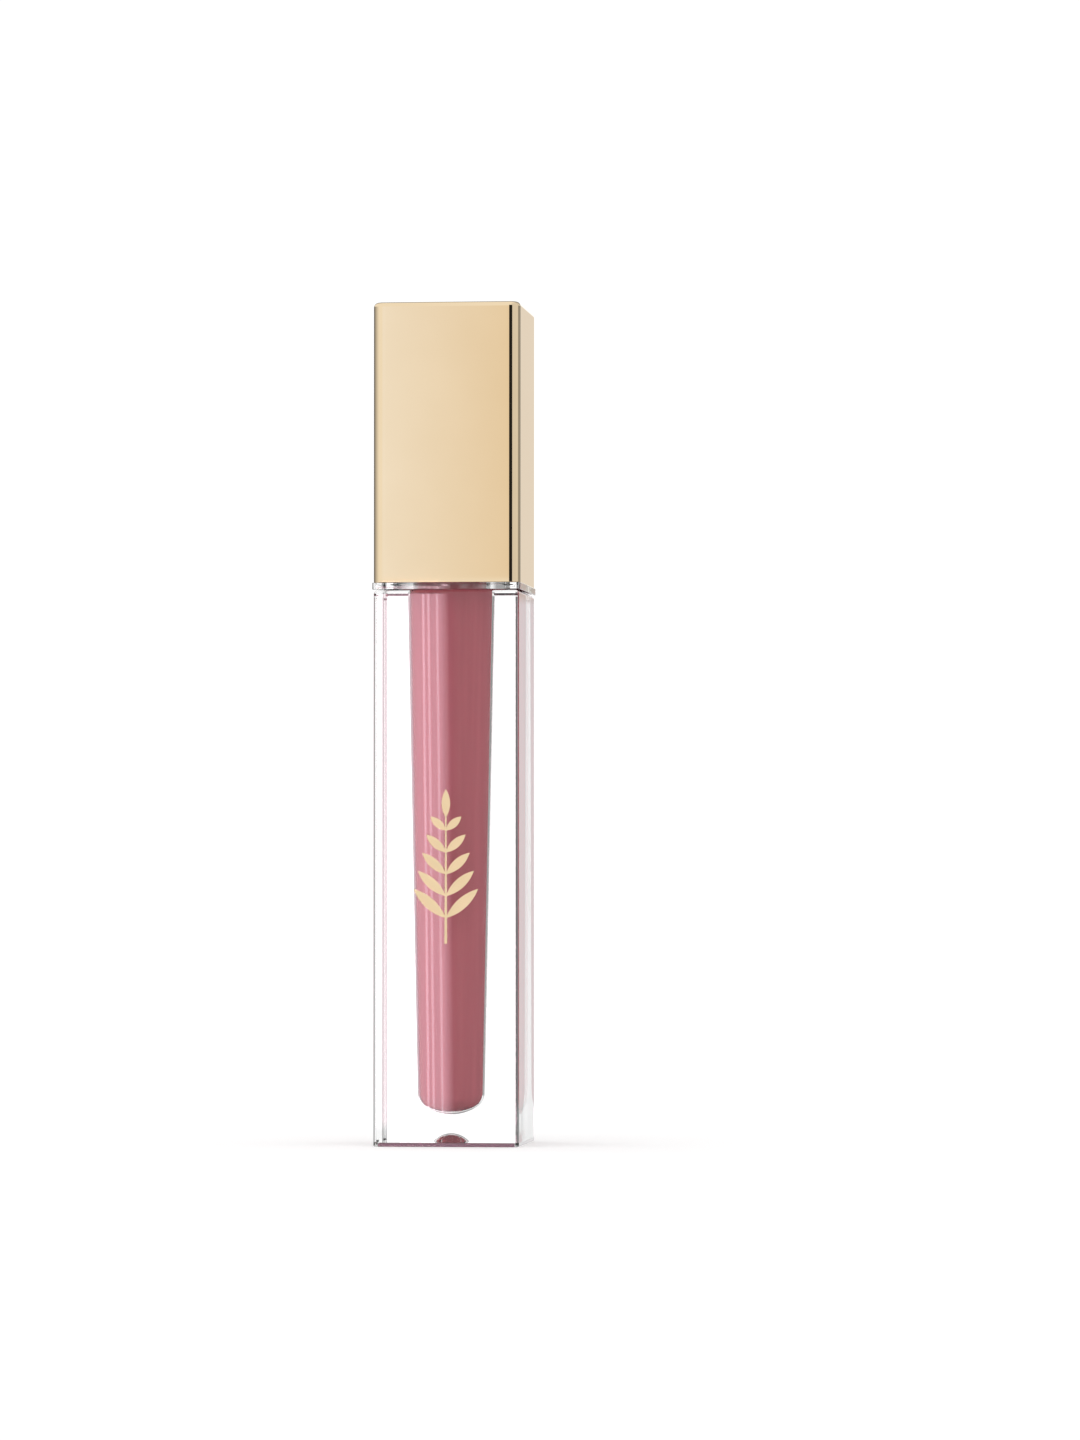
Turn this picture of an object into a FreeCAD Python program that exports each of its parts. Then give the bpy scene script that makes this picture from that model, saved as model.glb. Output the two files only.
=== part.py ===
"""Lip gloss tube: a thick square clear bottle, a wiper, and a screw cap that carries the wand.

The frame is in millimetres. Z is the tube's long axis and points up through the cap, the front
of the tube faces -Y, and the origin is the middle of the base that the closed tube stands on.
Every sub-part is drawn where it sits when the tube is screwed shut.
"""
import FreeCAD, Part
import math
import os
import Sketcher

# ---------------------------------------------------------------------------------------------
# Driving dimensions
# ---------------------------------------------------------------------------------------------

DIMENSIONS = {
    # Bottle
    "bottle_side": 18.4,
    "shoulder_height": 69.94,
    "bottle_edge_round": 0.45,
    "base_edge_round": 0.15,
    "cavity_floor": 3.85,
    "cavity_low_radius": 4.2,
    "cavity_top_radius": 5.525,
    "floor_dome_radius": 6.5,
    "floor_knuckle": 2.2,
    "neck_radius": 6.65,
    "neck_top": 81.3,
    "base_recess_side": 17.4,
    "base_recess_depth": 0.52,
    "dimple_radius": 2.28,
    "dimple_depth": 1.0,
    # Screw thread, shared by the neck and the inner cap
    "thread_lead": 3.0,
    "thread_turns": 1.5,
    "thread_start": 73.6,
    "thread_crest_radius": 7.25,
    "thread_nut_radius": 6.85,
    "thread_root_half": 0.65,
    "thread_crest_half": 0.35,
    "thread_bury": 0.3,
    "thread_offset": 1.0,
    # Base label and front foil
    "label_side": 17.4,
    "label_low": 0.03,
    "label_thickness": 0.4,
    "foil_thickness": 0.04,
    "sprig_low": 25.5,
    "sprig_stem_height": 16.2,
    "sprig_stem_half": 0.17,
    "leaf_first": 3.2,
    "leaf_pitch": 2.75,
    "leaf_length": 5.5,
    "leaf_shrink": 0.13,
    "leaf_belly": 0.68,
    "leaf_lean": 42.0,
    "crown_length": 3.6,
    # Wiper
    "wiper_flange_radius": 6.45,
    "wiper_top": 82.1,
    "wiper_low": 72.3,
    "wiper_mouth_radius": 4.3,
    "wiper_orifice_radius": 2.6,
    "wiper_lip": 0.6,
    "wiper_cone_height": 4.2,
    "wiper_lead_in": 0.5,
    # Gloss and the clear channel that the wand leaves in it
    "channel_radius": 3.05,
    "channel_low": 5.4,
    # Seal washer
    "washer_bore_radius": 2.65,
    "washer_radius": 6.2,
    "seal_top": 82.9,
    # Wand
    "stem_radius": 2.54,
    "stem_low": 20.0,
    "stem_head_radius": 3.2,
    "stem_head_top": 91.0,
    "snap_height": 89.2,
    "snap_half": 0.5,
    "snap_proud": 0.2,
    "plug_radius": 1.35,
    "plug_length": 5.9,
    "plug_bore_depth": 10.4,
    "plug_bore_point": 1.0,
    "core_radius": 2.45,
    "core_tip": 6.2,
    "core_dome": 2.4,
    "flock_radius": 2.95,
    "flock_tip": 5.7,
    "flock_dome": 2.9,
    "flock_top": 19.5,
    # Inner cap
    "flange_side": 18.75,
    "flange_low": 70.04,
    "flange_corner": 0.5,
    "skirt_radius": 7.85,
    "skirt_bore_radius": 7.45,
    "skirt_top": 84.5,
    "socket_radius": 4.6,
    "socket_clearance": 0.1,
    "socket_top": 93.0,
    "socket_bore_top": 91.3,
    "fin_half": 0.6,
    "fin_reach": 10.5,
    # Cap shell
    "cap_side": 18.6,
    "cap_low": 70.9,
    "cap_height": 35.4,
    "cap_draft": 0.02,
    "cap_corner": 1.4,
    "cap_top_round": 0.6,
    "cap_inner_side": 16.0,
    "cap_inner_corner": 0.5,
    "cap_top_wall": 1.2,
    "rim_round": 0.06,
}

LEAF_PAIRS = 5
TOLERANCE = 1e-4

doc = FreeCAD.newDocument("LipGlossTube")
sheet = doc.addObject("Spreadsheet::Sheet", "Dims")
for row, (alias, value) in enumerate(DIMENSIONS.items(), start=1):
    sheet.set(f"A{row}", alias.replace("_", " "))
    sheet.set(f"B{row}", str(value))
    sheet.setAlias(f"B{row}", alias)
doc.recompute()


# ---------------------------------------------------------------------------------------------
# Small tools
# ---------------------------------------------------------------------------------------------

def size(formula):
    """The value, in millimetres, that a formula over the sheet gives."""
    return float(sheet.evalExpression(formula))


def new_body(name):
    """A sub-part, labelled with its own name and placed in the tube's frame."""
    body = doc.addObject("PartDesign::Body", name)
    body.Label = name
    body.Placement = FreeCAD.Placement()
    return body


def new_sketch(body, name, plane, lift=None):
    """A sketch on one of the body's own origin planes, lifted along the plane's normal."""
    sketch = body.newObject("Sketcher::SketchObject", name)
    support = next(part for part in body.Origin.OriginFeatures if part.Role == plane)
    sketch.AttachmentSupport = [(support, "")]
    sketch.MapMode = "FlatFace"
    if lift:
        sketch.setExpression("AttachmentOffset.Base.z", lift)
    return sketch


def pin_point(sketch, line, end, across, up):
    """Hold one end of a line or arc at two formulas, measured from the sketch's origin."""
    for kind, formula in (("DistanceX", across), ("DistanceY", up)):
        hold = Sketcher.Constraint(kind, -1, 1, line, end, size(formula))
        index = sketch.addConstraint(hold)
        sketch.setExpression(f"Constraints[{index}]", formula)


def draw_outline(sketch, corners, arcs=None):
    """A closed outline through corners given as (across, up) formulas.

    arcs maps the number of a side to (radius formula, bulge), and that side becomes an arc.
    bulge is +1 when the arc bows to the left of the direction of travel, and -1 to the right.
    """
    arcs = arcs or {}
    points = [FreeCAD.Vector(size(across), size(up), 0) for across, up in corners]
    first = sketch.GeometryCount
    for side, start in enumerate(points):
        finish = points[(side + 1) % len(points)]
        if side in arcs:
            radius, bulge = arcs[side]
            sketch.addGeometry(arc_between(start, finish, size(radius), bulge), False)
        else:
            sketch.addGeometry(Part.LineSegment(start, finish), False)
    for side, corner in enumerate(corners):
        here = first + side
        ahead = first + (side + 1) % len(points)
        sketch.addConstraint(Sketcher.Constraint("Coincident", *end_of(sketch, here, points, side, 1),
                                                 *end_of(sketch, ahead, points, side + 1, 0)))
    for side, (across, up) in enumerate(corners):
        line, end = end_of(sketch, first + side, points, side, 0)
        pin_point(sketch, line, end, across, up)
    for side, (radius, bulge) in arcs.items():
        index = sketch.addConstraint(Sketcher.Constraint("Radius", first + side, size(radius)))
        sketch.setExpression(f"Constraints[{index}]", radius)


def end_of(sketch, line, points, side, which):
    """(line, end) for the start (0) or the finish (1) of a side, whichever way it was drawn."""
    wanted = points[(side + which) % len(points)]
    near_start = sketch.getPoint(line, 1).distanceToPoint(wanted)
    near_finish = sketch.getPoint(line, 2).distanceToPoint(wanted)
    return line, 1 if near_start < near_finish else 2


def arc_between(start, finish, radius, bulge):
    """A circular arc from start to finish that bows to one side of the straight line."""
    chord = finish - start
    sagitta = radius - math.sqrt(radius ** 2 - chord.Length ** 2 / 4)
    sideways = FreeCAD.Vector(-chord.y, chord.x, 0)
    sideways.normalize()
    middle = (start + finish) * 0.5 + sideways * (bulge * sagitta)
    return Part.Arc(start, middle, finish)


def square(side):
    """The four corners of a square centred on the sketch's origin."""
    half = f"{side} / 2"
    less = f"-{side} / 2"
    return [(less, less), (half, less), (half, half), (less, half)]


def pad(body, sketch, name, length, draft=None):
    """Raise a sketch by a length along its plane's normal."""
    feature = body.newObject("PartDesign::Pad", name)
    feature.Profile = sketch
    feature.setExpression("Length", length)
    if draft:
        feature.setExpression("TaperAngle", draft)
    doc.recompute()
    return feature


def insist_smaller(body, before, name):
    """Stop if a cut left the volume as it was, because it pointed away from the solid."""
    if body.Shape.Volume > before - TOLERANCE:
        raise ValueError(f"{name} cut nothing")


def pocket_upward(body, sketch, name, depth):
    """Cut a sketch into the solid above its plane."""
    before = body.Shape.Volume
    feature = body.newObject("PartDesign::Pocket", name)
    feature.Profile = sketch
    feature.Reversed = True
    feature.setExpression("Length", depth)
    doc.recompute()
    insist_smaller(body, before, name)
    return feature


def full_turn(body, sketch, name, kind):
    """Turn a sketch a full circle about the tube's axis, to add material or to cut it away."""
    feature = body.newObject(kind, name)
    feature.Profile = sketch
    feature.ReferenceAxis = (sketch, ["V_Axis"])
    feature.Angle = 360
    doc.recompute()
    return feature


def turned(body, sketch, name):
    """Add the solid that a sketch sweeps about the tube's axis."""
    return full_turn(body, sketch, name, "PartDesign::Revolution")


def bored(body, sketch, name):
    """Cut away the solid that a sketch sweeps about the tube's axis."""
    before = body.Shape.Volume
    feature = full_turn(body, sketch, name, "PartDesign::Groove")
    insist_smaller(body, before, name)
    return feature


def turned_body(name, corners, arcs=None):
    """A sub-part that is one outline turned about the tube's axis."""
    body = new_body(name)
    sketch = new_sketch(body, f"{name}_outline", "XZ_Plane")
    draw_outline(sketch, corners, arcs)
    turned(body, sketch, f"{name}_turned")
    return body


def rounded(body, name, radius, wanted, kind="PartDesign::Fillet"):
    """Round (or chamfer) the edges of the body so far that pass a test."""
    base = body.Tip
    names = [f"Edge{n}" for n, edge in enumerate(base.Shape.Edges, start=1) if wanted(edge)]
    if not names:
        raise ValueError(f"{name} found no edge")
    feature = body.newObject(kind, name)
    feature.Base = (base, names)
    feature.setExpression("Size" if kind == "PartDesign::Chamfer" else "Radius", radius)
    doc.recompute()
    return feature


def is_level(edge, height):
    """True for an edge that lies in the level plane at a height."""
    box = edge.BoundBox
    return abs(box.ZMin - height) < TOLERANCE and abs(box.ZMax - height) < TOLERANCE


def is_ring(edge, height, radius):
    """True for a full circle about the tube's axis."""
    return is_level(edge, height) and abs(edge.Length - 2 * math.pi * radius) < TOLERANCE


def is_upright(edge):
    """True for an edge that climbs, such as the corner between two side walls."""
    return edge.BoundBox.ZLength > 10 * edge.BoundBox.XLength + TOLERANCE


def is_outermost(edge, side):
    """True for an edge that reaches the outline of a square of this side."""
    box = edge.BoundBox
    reach = max(box.XMax, box.YMax, -box.XMin, -box.YMin)
    return reach > side / 2 - 2 * TOLERANCE


def add_thread(body, name, base_radius, crest_radius, start):
    """A right-hand ridge of trapezoid section wound about the tube's axis."""
    sketch = new_sketch(body, f"{name}_section", "XZ_Plane")
    draw_outline(sketch, [
        (base_radius, f"{start} - Dims.thread_root_half"),
        (crest_radius, f"{start} - Dims.thread_crest_half"),
        (crest_radius, f"{start} + Dims.thread_crest_half"),
        (base_radius, f"{start} + Dims.thread_root_half"),
    ])
    before = body.Shape.Volume
    helix = body.newObject("PartDesign::AdditiveHelix", name)
    helix.Profile = sketch
    helix.ReferenceAxis = (sketch, ["V_Axis"])
    helix.Mode = "pitch-turns-angle"
    helix.setExpression("Pitch", "Dims.thread_lead")
    helix.setExpression("Turns", "Dims.thread_turns")
    helix.LeftHanded = False
    helix.Reversed = False
    doc.recompute()
    if body.Shape.Volume < before + TOLERANCE:
        raise ValueError(f"{name} added nothing")
    return helix


# ---------------------------------------------------------------------------------------------
# Bottle and what stays with it
# ---------------------------------------------------------------------------------------------

DOME_RISE = "(Dims.floor_dome_radius - sqrt(Dims.floor_dome_radius ^ 2 - Dims.cavity_low_radius ^ 2))"
CAVITY_SIDE_FOOT = ("Dims.cavity_low_radius", f"Dims.cavity_floor + {DOME_RISE}")
CAVITY_SHOULDER = ("Dims.cavity_top_radius", "Dims.shoulder_height")


def is_knuckle(edge):
    """The ring where the cavity's tapered side meets its domed floor."""
    return is_ring(edge, size(CAVITY_SIDE_FOOT[1]), size(CAVITY_SIDE_FOOT[0]))


def make_bottle():
    """Thick square bottle with a round tapered cavity, a threaded neck and a dimpled base."""
    body = new_body("bottle")
    block = new_sketch(body, "bottle_block", "XY_Plane")
    draw_outline(block, square("Dims.bottle_side"))
    pad(body, block, "bottle_walls", "Dims.shoulder_height")
    rounded(body, "bottle_corners", "Dims.bottle_edge_round", is_upright)
    shoulder = size("Dims.shoulder_height")
    rounded(body, "shoulder_edges", "Dims.bottle_edge_round", lambda edge: is_level(edge, shoulder))
    rounded(body, "base_edges", "Dims.base_edge_round", lambda edge: is_level(edge, 0))

    neck = new_sketch(body, "neck_outline", "XZ_Plane")
    draw_outline(neck, [
        ("0", "Dims.shoulder_height - 1"),
        ("Dims.neck_radius", "Dims.shoulder_height - 1"),
        ("Dims.neck_radius", "Dims.neck_top"),
        ("0", "Dims.neck_top"),
    ])
    turned(body, neck, "neck")
    add_thread(body, "neck_thread", "Dims.neck_radius - Dims.thread_bury",
               "Dims.thread_crest_radius", "Dims.thread_start")

    cavity = new_sketch(body, "cavity_outline", "XZ_Plane")
    draw_outline(cavity, [
        ("0", "Dims.cavity_floor"),
        CAVITY_SIDE_FOOT,
        CAVITY_SHOULDER,
        ("Dims.cavity_top_radius", "Dims.neck_top"),
        ("0", "Dims.neck_top"),
    ], arcs={0: ("Dims.floor_dome_radius", -1)})
    bored(body, cavity, "cavity")
    rounded(body, "cavity_knuckle", "Dims.floor_knuckle", is_knuckle)

    recess = new_sketch(body, "base_recess_outline", "XY_Plane")
    draw_outline(recess, square("Dims.base_recess_side"))
    pocket_upward(body, recess, "base_recess", "Dims.base_recess_depth")
    dimple = new_sketch(body, "dimple_outline", "XZ_Plane")
    draw_outline(dimple, [
        ("0", "0"),
        ("Dims.dimple_radius", "0"),
        ("Dims.dimple_radius", "Dims.base_recess_depth"),
        ("0", "Dims.base_recess_depth + Dims.dimple_depth"),
    ], arcs={2: ("(Dims.dimple_radius ^ 2 + Dims.dimple_depth ^ 2) / (2 * Dims.dimple_depth)", -1)})
    bored(body, dimple, "dimple")
    return body


def make_gloss_fill():
    """The gloss itself: it fills the cavity up to the wiper, round the channel of the wand."""
    body = turned_body("gloss_fill", [
        ("0", "Dims.cavity_floor"),
        CAVITY_SIDE_FOOT,
        CAVITY_SHOULDER,
        ("Dims.cavity_top_radius", "Dims.wiper_low"),
        ("Dims.channel_radius", "Dims.wiper_low"),
        ("Dims.channel_radius", "Dims.channel_low"),
        ("0", "Dims.channel_low"),
    ], arcs={0: ("Dims.floor_dome_radius", -1)})
    rounded(body, "gloss_knuckle", "Dims.floor_knuckle", is_knuckle)
    return body


def make_wiper():
    """Soft collar pressed into the neck: its funnel ends in a lip that wipes the wand."""
    return turned_body("wiper", [
        ("Dims.wiper_mouth_radius", "Dims.wiper_top"),
        ("Dims.wiper_mouth_radius", "Dims.wiper_low + Dims.wiper_lip + Dims.wiper_cone_height"),
        ("Dims.wiper_orifice_radius", "Dims.wiper_low + Dims.wiper_lip"),
        ("Dims.wiper_orifice_radius", "Dims.wiper_low"),
        ("Dims.cavity_top_radius - Dims.wiper_lead_in", "Dims.wiper_low"),
        ("Dims.cavity_top_radius", "Dims.wiper_low + 2 * Dims.wiper_lead_in"),
        ("Dims.cavity_top_radius", "Dims.neck_top"),
        ("Dims.wiper_flange_radius", "Dims.neck_top"),
        ("Dims.wiper_flange_radius", "Dims.wiper_top"),
    ])


def make_shade_label():
    """Square shade plate pressed into the base recess. It shows through the clear base."""
    body = new_body("shade_label")
    sheet_outline = new_sketch(body, "label_outline", "XY_Plane", "Dims.label_low")
    draw_outline(sheet_outline, square("Dims.label_side"))
    pad(body, sheet_outline, "label_sheet", "Dims.label_thickness")
    return body


def leaf_arcs(sketch, root, tip, belly):
    """One pointed leaf: two arcs that share their ends, bowed to either side by the belly."""
    chord = f"sqrt(({tip[0]} - ({root[0]})) ^ 2 + ({tip[1]} - ({root[1]})) ^ 2)"
    radius = f"(({chord}) ^ 2 / 4 + ({belly}) ^ 2) / (2 * ({belly}))"
    draw_outline(sketch, [root, tip], arcs={0: (radius, -1), 1: (radius, -1)})


def make_foil_sprig():
    """Foil ornament on the front face: a plain upright sprig of paired leaves."""
    body = new_body("foil_sprig")
    front = "Dims.bottle_side / 2"
    stalk = new_sketch(body, "sprig_stalk_outline", "XZ_Plane", front)
    draw_outline(stalk, [
        ("-Dims.sprig_stem_half", "Dims.sprig_low"),
        ("Dims.sprig_stem_half", "Dims.sprig_low"),
        ("Dims.sprig_stem_half / 2", "Dims.sprig_low + Dims.sprig_stem_height"),
        ("-Dims.sprig_stem_half / 2", "Dims.sprig_low + Dims.sprig_stem_height"),
    ])
    pad(body, stalk, "sprig_stalk", "Dims.foil_thickness")
    for pair in range(LEAF_PAIRS):
        leaves = new_sketch(body, f"leaf_pair_{pair + 1}_outline", "XZ_Plane", front)
        root_height = f"Dims.sprig_low + Dims.leaf_first + {pair} * Dims.leaf_pitch"
        reach = f"Dims.leaf_length * (1 - {pair} * Dims.leaf_shrink)"
        belly = f"Dims.leaf_belly * (1 - {pair} * Dims.leaf_shrink / 2)"
        rise = f"{reach} * sin(Dims.leaf_lean * 1 deg)"
        spread = f"{reach} * cos(Dims.leaf_lean * 1 deg)"
        for hand in ("", "-"):
            leaf_arcs(leaves, ("0", root_height), (f"{hand}({spread})", f"{root_height} + {rise}"), belly)
        pad(body, leaves, f"leaf_pair_{pair + 1}", "Dims.foil_thickness")
    crown = new_sketch(body, "crown_leaf_outline", "XZ_Plane", front)
    crown_root = "Dims.sprig_low + Dims.sprig_stem_height - 0.4"
    leaf_arcs(crown, ("0", crown_root), ("0", f"{crown_root} + Dims.crown_length"), "Dims.leaf_belly * 0.8")
    pad(body, crown, "crown_leaf", "Dims.foil_thickness")
    return body


# ---------------------------------------------------------------------------------------------
# Seal and wand
# ---------------------------------------------------------------------------------------------

def make_seal_washer():
    """Flat washer, held between the wiper's rim and the inner cap when the tube is shut."""
    return turned_body("seal_washer", [
        ("Dims.washer_bore_radius", "Dims.wiper_top"),
        ("Dims.washer_radius", "Dims.wiper_top"),
        ("Dims.washer_radius", "Dims.seal_top"),
        ("Dims.washer_bore_radius", "Dims.seal_top"),
    ])


def make_wand_stem():
    """Clear stem: a head with a snap ring at the top, and a blind bore for the applicator below."""
    bore_top = "Dims.stem_low + Dims.plug_bore_depth"
    body = turned_body("wand_stem", [
        ("Dims.plug_radius", "Dims.stem_low"),
        ("Dims.stem_radius", "Dims.stem_low"),
        ("Dims.stem_radius", "Dims.seal_top"),
        ("Dims.stem_head_radius", "Dims.seal_top"),
        ("Dims.stem_head_radius", "Dims.snap_height - Dims.snap_half"),
        ("Dims.stem_head_radius + Dims.snap_proud", "Dims.snap_height"),
        ("Dims.stem_head_radius", "Dims.snap_height + Dims.snap_half"),
        ("Dims.stem_head_radius", "Dims.stem_head_top"),
        ("0", "Dims.stem_head_top"),
        ("0", bore_top),
        ("Dims.plug_radius", f"{bore_top} - Dims.plug_bore_point"),
    ])
    return body


def make_applicator_core():
    """Moulded core of the applicator: a domed rod with a plug that presses into the stem."""
    body = turned_body("applicator_core", [
        ("0", "Dims.core_tip"),
        ("Dims.core_radius", "Dims.core_tip"),
        ("Dims.core_radius", "Dims.stem_low"),
        ("Dims.plug_radius", "Dims.stem_low"),
        ("Dims.plug_radius", "Dims.stem_low + Dims.plug_length"),
        ("0", "Dims.stem_low + Dims.plug_length"),
    ])
    rounded(body, "core_tip_dome", "Dims.core_dome",
            lambda edge: is_ring(edge, size("Dims.core_tip"), size("Dims.core_radius")))
    return body


def make_applicator_flock():
    """Sleeve of short fibres on the core, drawn as the soft solid that they fill."""
    body = turned_body("applicator_flock", [
        ("0", "Dims.flock_tip"),
        ("Dims.flock_radius", "Dims.flock_tip"),
        ("Dims.flock_radius", "Dims.flock_top"),
        ("Dims.core_radius", "Dims.flock_top"),
        ("Dims.core_radius", "Dims.core_tip"),
        ("0", "Dims.core_tip"),
    ])
    rounded(body, "flock_tip_dome", "Dims.flock_dome",
            lambda edge: is_ring(edge, size("Dims.flock_tip"), size("Dims.flock_radius")))
    rounded(body, "flock_inner_dome", "Dims.core_dome",
            lambda edge: is_ring(edge, size("Dims.core_tip"), size("Dims.core_radius")))
    return body


# ---------------------------------------------------------------------------------------------
# Cap
# ---------------------------------------------------------------------------------------------

def make_inner_cap():
    """Clear inner cap: a square flange, a threaded skirt and a socket for the wand's head."""
    body = new_body("inner_cap")
    flange = new_sketch(body, "flange_outline", "XY_Plane", "Dims.flange_low")
    draw_outline(flange, square("Dims.flange_side"))
    pad(body, flange, "flange", "Dims.cap_low - Dims.flange_low")
    rounded(body, "flange_corners", "Dims.flange_corner", is_upright)
    outer_edges = size("Dims.flange_side")
    rounded(body, "flange_rims", "Dims.rim_round",
            lambda edge: not is_upright(edge) and is_outermost(edge, outer_edges - 1))

    skirt = new_sketch(body, "skirt_outline", "XZ_Plane")
    draw_outline(skirt, [
        ("0", "Dims.flange_low"),
        ("Dims.skirt_radius", "Dims.flange_low"),
        ("Dims.skirt_radius", "Dims.skirt_top"),
        ("Dims.socket_radius", "Dims.skirt_top"),
        ("Dims.socket_radius", "Dims.socket_top"),
        ("0", "Dims.socket_top"),
    ])
    turned(body, skirt, "skirt_and_socket")

    fin = new_sketch(body, "fin_outline", "XY_Plane", "Dims.cap_low")
    draw_outline(fin, [
        ("Dims.skirt_radius - 0.5", "-Dims.fin_half"),
        ("Dims.fin_reach", "-Dims.fin_half"),
        ("Dims.fin_reach", "Dims.fin_half"),
        ("Dims.skirt_radius - 0.5", "Dims.fin_half"),
    ])
    fin.setExpression("AttachmentOffset.Rotation.Angle", "45 deg")
    corner_fin = pad(body, fin, "corner_fin", "Dims.skirt_top - Dims.cap_low")
    fins = body.newObject("PartDesign::PolarPattern", "corner_fins")
    fins.Originals = [corner_fin]
    fins.Axis = (fin, ["N_Axis"])
    fins.Angle = 360
    fins.Occurrences = 4
    body.Tip = fins
    doc.recompute()

    socket_bore = "Dims.stem_head_radius + Dims.socket_clearance"
    bores = new_sketch(body, "cap_bores_outline", "XZ_Plane")
    draw_outline(bores, [
        ("0", "Dims.flange_low"),
        ("Dims.skirt_bore_radius", "Dims.flange_low"),
        ("Dims.skirt_bore_radius", "Dims.seal_top"),
        (socket_bore, "Dims.seal_top"),
        (socket_bore, "Dims.snap_height - Dims.snap_half"),
        (f"{socket_bore} + Dims.snap_proud", "Dims.snap_height"),
        (socket_bore, "Dims.snap_height + Dims.snap_half"),
        (socket_bore, "Dims.socket_bore_top"),
        ("0", "Dims.socket_bore_top"),
    ])
    bored(body, bores, "cap_bores")
    add_thread(body, "cap_thread", "Dims.skirt_bore_radius + Dims.thread_bury",
               "Dims.thread_nut_radius", "Dims.thread_start - Dims.thread_offset")
    return body


def make_cap_shell():
    """Tall square outer shell with rounded corners. It is a little wider at its closed end."""
    body = new_body("cap_shell")
    block = new_sketch(body, "cap_block", "XY_Plane", "Dims.cap_low")
    draw_outline(block, square("Dims.cap_side"))
    pad(body, block, "cap_walls", "Dims.cap_height", "Dims.cap_draft")
    rounded(body, "cap_corners", "Dims.cap_corner", is_upright)
    cap_top = size("Dims.cap_low + Dims.cap_height")
    cap_low = size("Dims.cap_low")
    rounded(body, "cap_top_edges", "Dims.cap_top_round", lambda edge: is_level(edge, cap_top))
    rounded(body, "cap_rim", "Dims.rim_round", lambda edge: is_level(edge, cap_low))

    hollow = new_sketch(body, "cap_hollow_outline", "XY_Plane", "Dims.cap_low")
    draw_outline(hollow, square("Dims.cap_inner_side"))
    pocket_upward(body, hollow, "cap_hollow", "Dims.cap_height - Dims.cap_top_wall")
    inner_corner = size("Dims.cap_inner_side / 2")
    rounded(body, "hollow_corners", "Dims.cap_inner_corner",
            lambda edge: is_upright(edge) and abs(abs(edge.CenterOfMass.x) - inner_corner) < TOLERANCE)
    return body


# ---------------------------------------------------------------------------------------------
# Build, check and write
# ---------------------------------------------------------------------------------------------

MAKERS = [
    make_bottle,
    make_gloss_fill,
    make_wiper,
    make_shade_label,
    make_foil_sprig,
    make_seal_washer,
    make_wand_stem,
    make_applicator_core,
    make_applicator_flock,
    make_inner_cap,
    make_cap_shell,
]

sub_parts = [make() for make in MAKERS]
doc.recompute()

for item in doc.Objects:
    faults = {"Invalid", "Error"} & set(item.State)
    if faults:
        raise RuntimeError(f"{item.Name} is {faults}")
for part in sub_parts:
    if part.Shape.isNull() or not part.Shape.isValid():
        raise RuntimeError(f"{part.Label} has no valid shape")

os.makedirs("parts", exist_ok=True)
for part in sub_parts:
    part.Shape.exportStep(f"parts/{part.Label}.step")
    box = part.Shape.optimalBoundingBox()
    print(f"{part.Label:18s} solids {len(part.Shape.Solids)}  volume {part.Shape.Volume:9.2f} mm3  "
          f"z {box.ZMin:7.2f} to {box.ZMax:7.2f}  width {box.XLength:6.2f}")
print(f"gloss volume {sub_parts[1].Shape.Volume / 1000:.2f} ml")
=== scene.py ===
# %% [markdown]
# # A lip gloss tube, piece by piece
# The tube is a thick square bottle of clear plastic with a round cavity full of pink gloss. A
# square gold cap screws on to it and carries a clear wand. All the sizes that matter are already
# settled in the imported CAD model, so this script loads that model as a fixed frame, and then makes
# a finely shaped and finished piece in the place of each of its parts.

# %% Load the frame
import math

import bpy
import numpy as np
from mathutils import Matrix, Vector


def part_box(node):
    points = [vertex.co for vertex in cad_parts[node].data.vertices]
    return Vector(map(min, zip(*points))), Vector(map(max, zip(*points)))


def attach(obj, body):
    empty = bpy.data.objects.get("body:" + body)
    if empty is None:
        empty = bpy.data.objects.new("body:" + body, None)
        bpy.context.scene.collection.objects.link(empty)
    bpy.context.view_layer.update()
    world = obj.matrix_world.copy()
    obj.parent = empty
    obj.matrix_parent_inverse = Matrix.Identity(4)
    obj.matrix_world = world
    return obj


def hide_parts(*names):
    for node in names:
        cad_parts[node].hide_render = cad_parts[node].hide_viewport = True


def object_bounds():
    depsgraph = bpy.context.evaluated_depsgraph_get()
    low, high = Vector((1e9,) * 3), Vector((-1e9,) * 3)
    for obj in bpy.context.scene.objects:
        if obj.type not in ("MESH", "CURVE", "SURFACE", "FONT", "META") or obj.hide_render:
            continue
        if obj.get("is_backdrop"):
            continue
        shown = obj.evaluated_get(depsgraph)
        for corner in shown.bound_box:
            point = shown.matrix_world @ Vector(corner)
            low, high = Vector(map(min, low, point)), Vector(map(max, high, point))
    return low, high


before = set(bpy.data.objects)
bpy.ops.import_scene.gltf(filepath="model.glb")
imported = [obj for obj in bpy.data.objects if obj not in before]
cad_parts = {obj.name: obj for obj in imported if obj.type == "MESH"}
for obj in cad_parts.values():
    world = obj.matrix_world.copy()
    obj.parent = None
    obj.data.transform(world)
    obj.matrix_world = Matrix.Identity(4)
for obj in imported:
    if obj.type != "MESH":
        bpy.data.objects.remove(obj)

CAD_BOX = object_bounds()
MM = 0.001


# %% [markdown]
# ## Sizes from the frame
# A maker measures the parts in front of them. Each node's box gives its lowest and highest corner,
# and the numbers that follow are read from those boxes in millimetres. Only the small details that
# a box can't show, such as an edge's rounding, are stated where they are first used.

# %% Measure the parts
def low(node):
    """The lowest height of a node, in millimetres."""
    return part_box(node)[0].z / MM


def high(node):
    """The greatest height of a node, in millimetres."""
    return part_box(node)[1].z / MM


def reach(node):
    """How far a node reaches from the tube's axis towards +X, in millimetres."""
    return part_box(node)[1].x / MM


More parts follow.
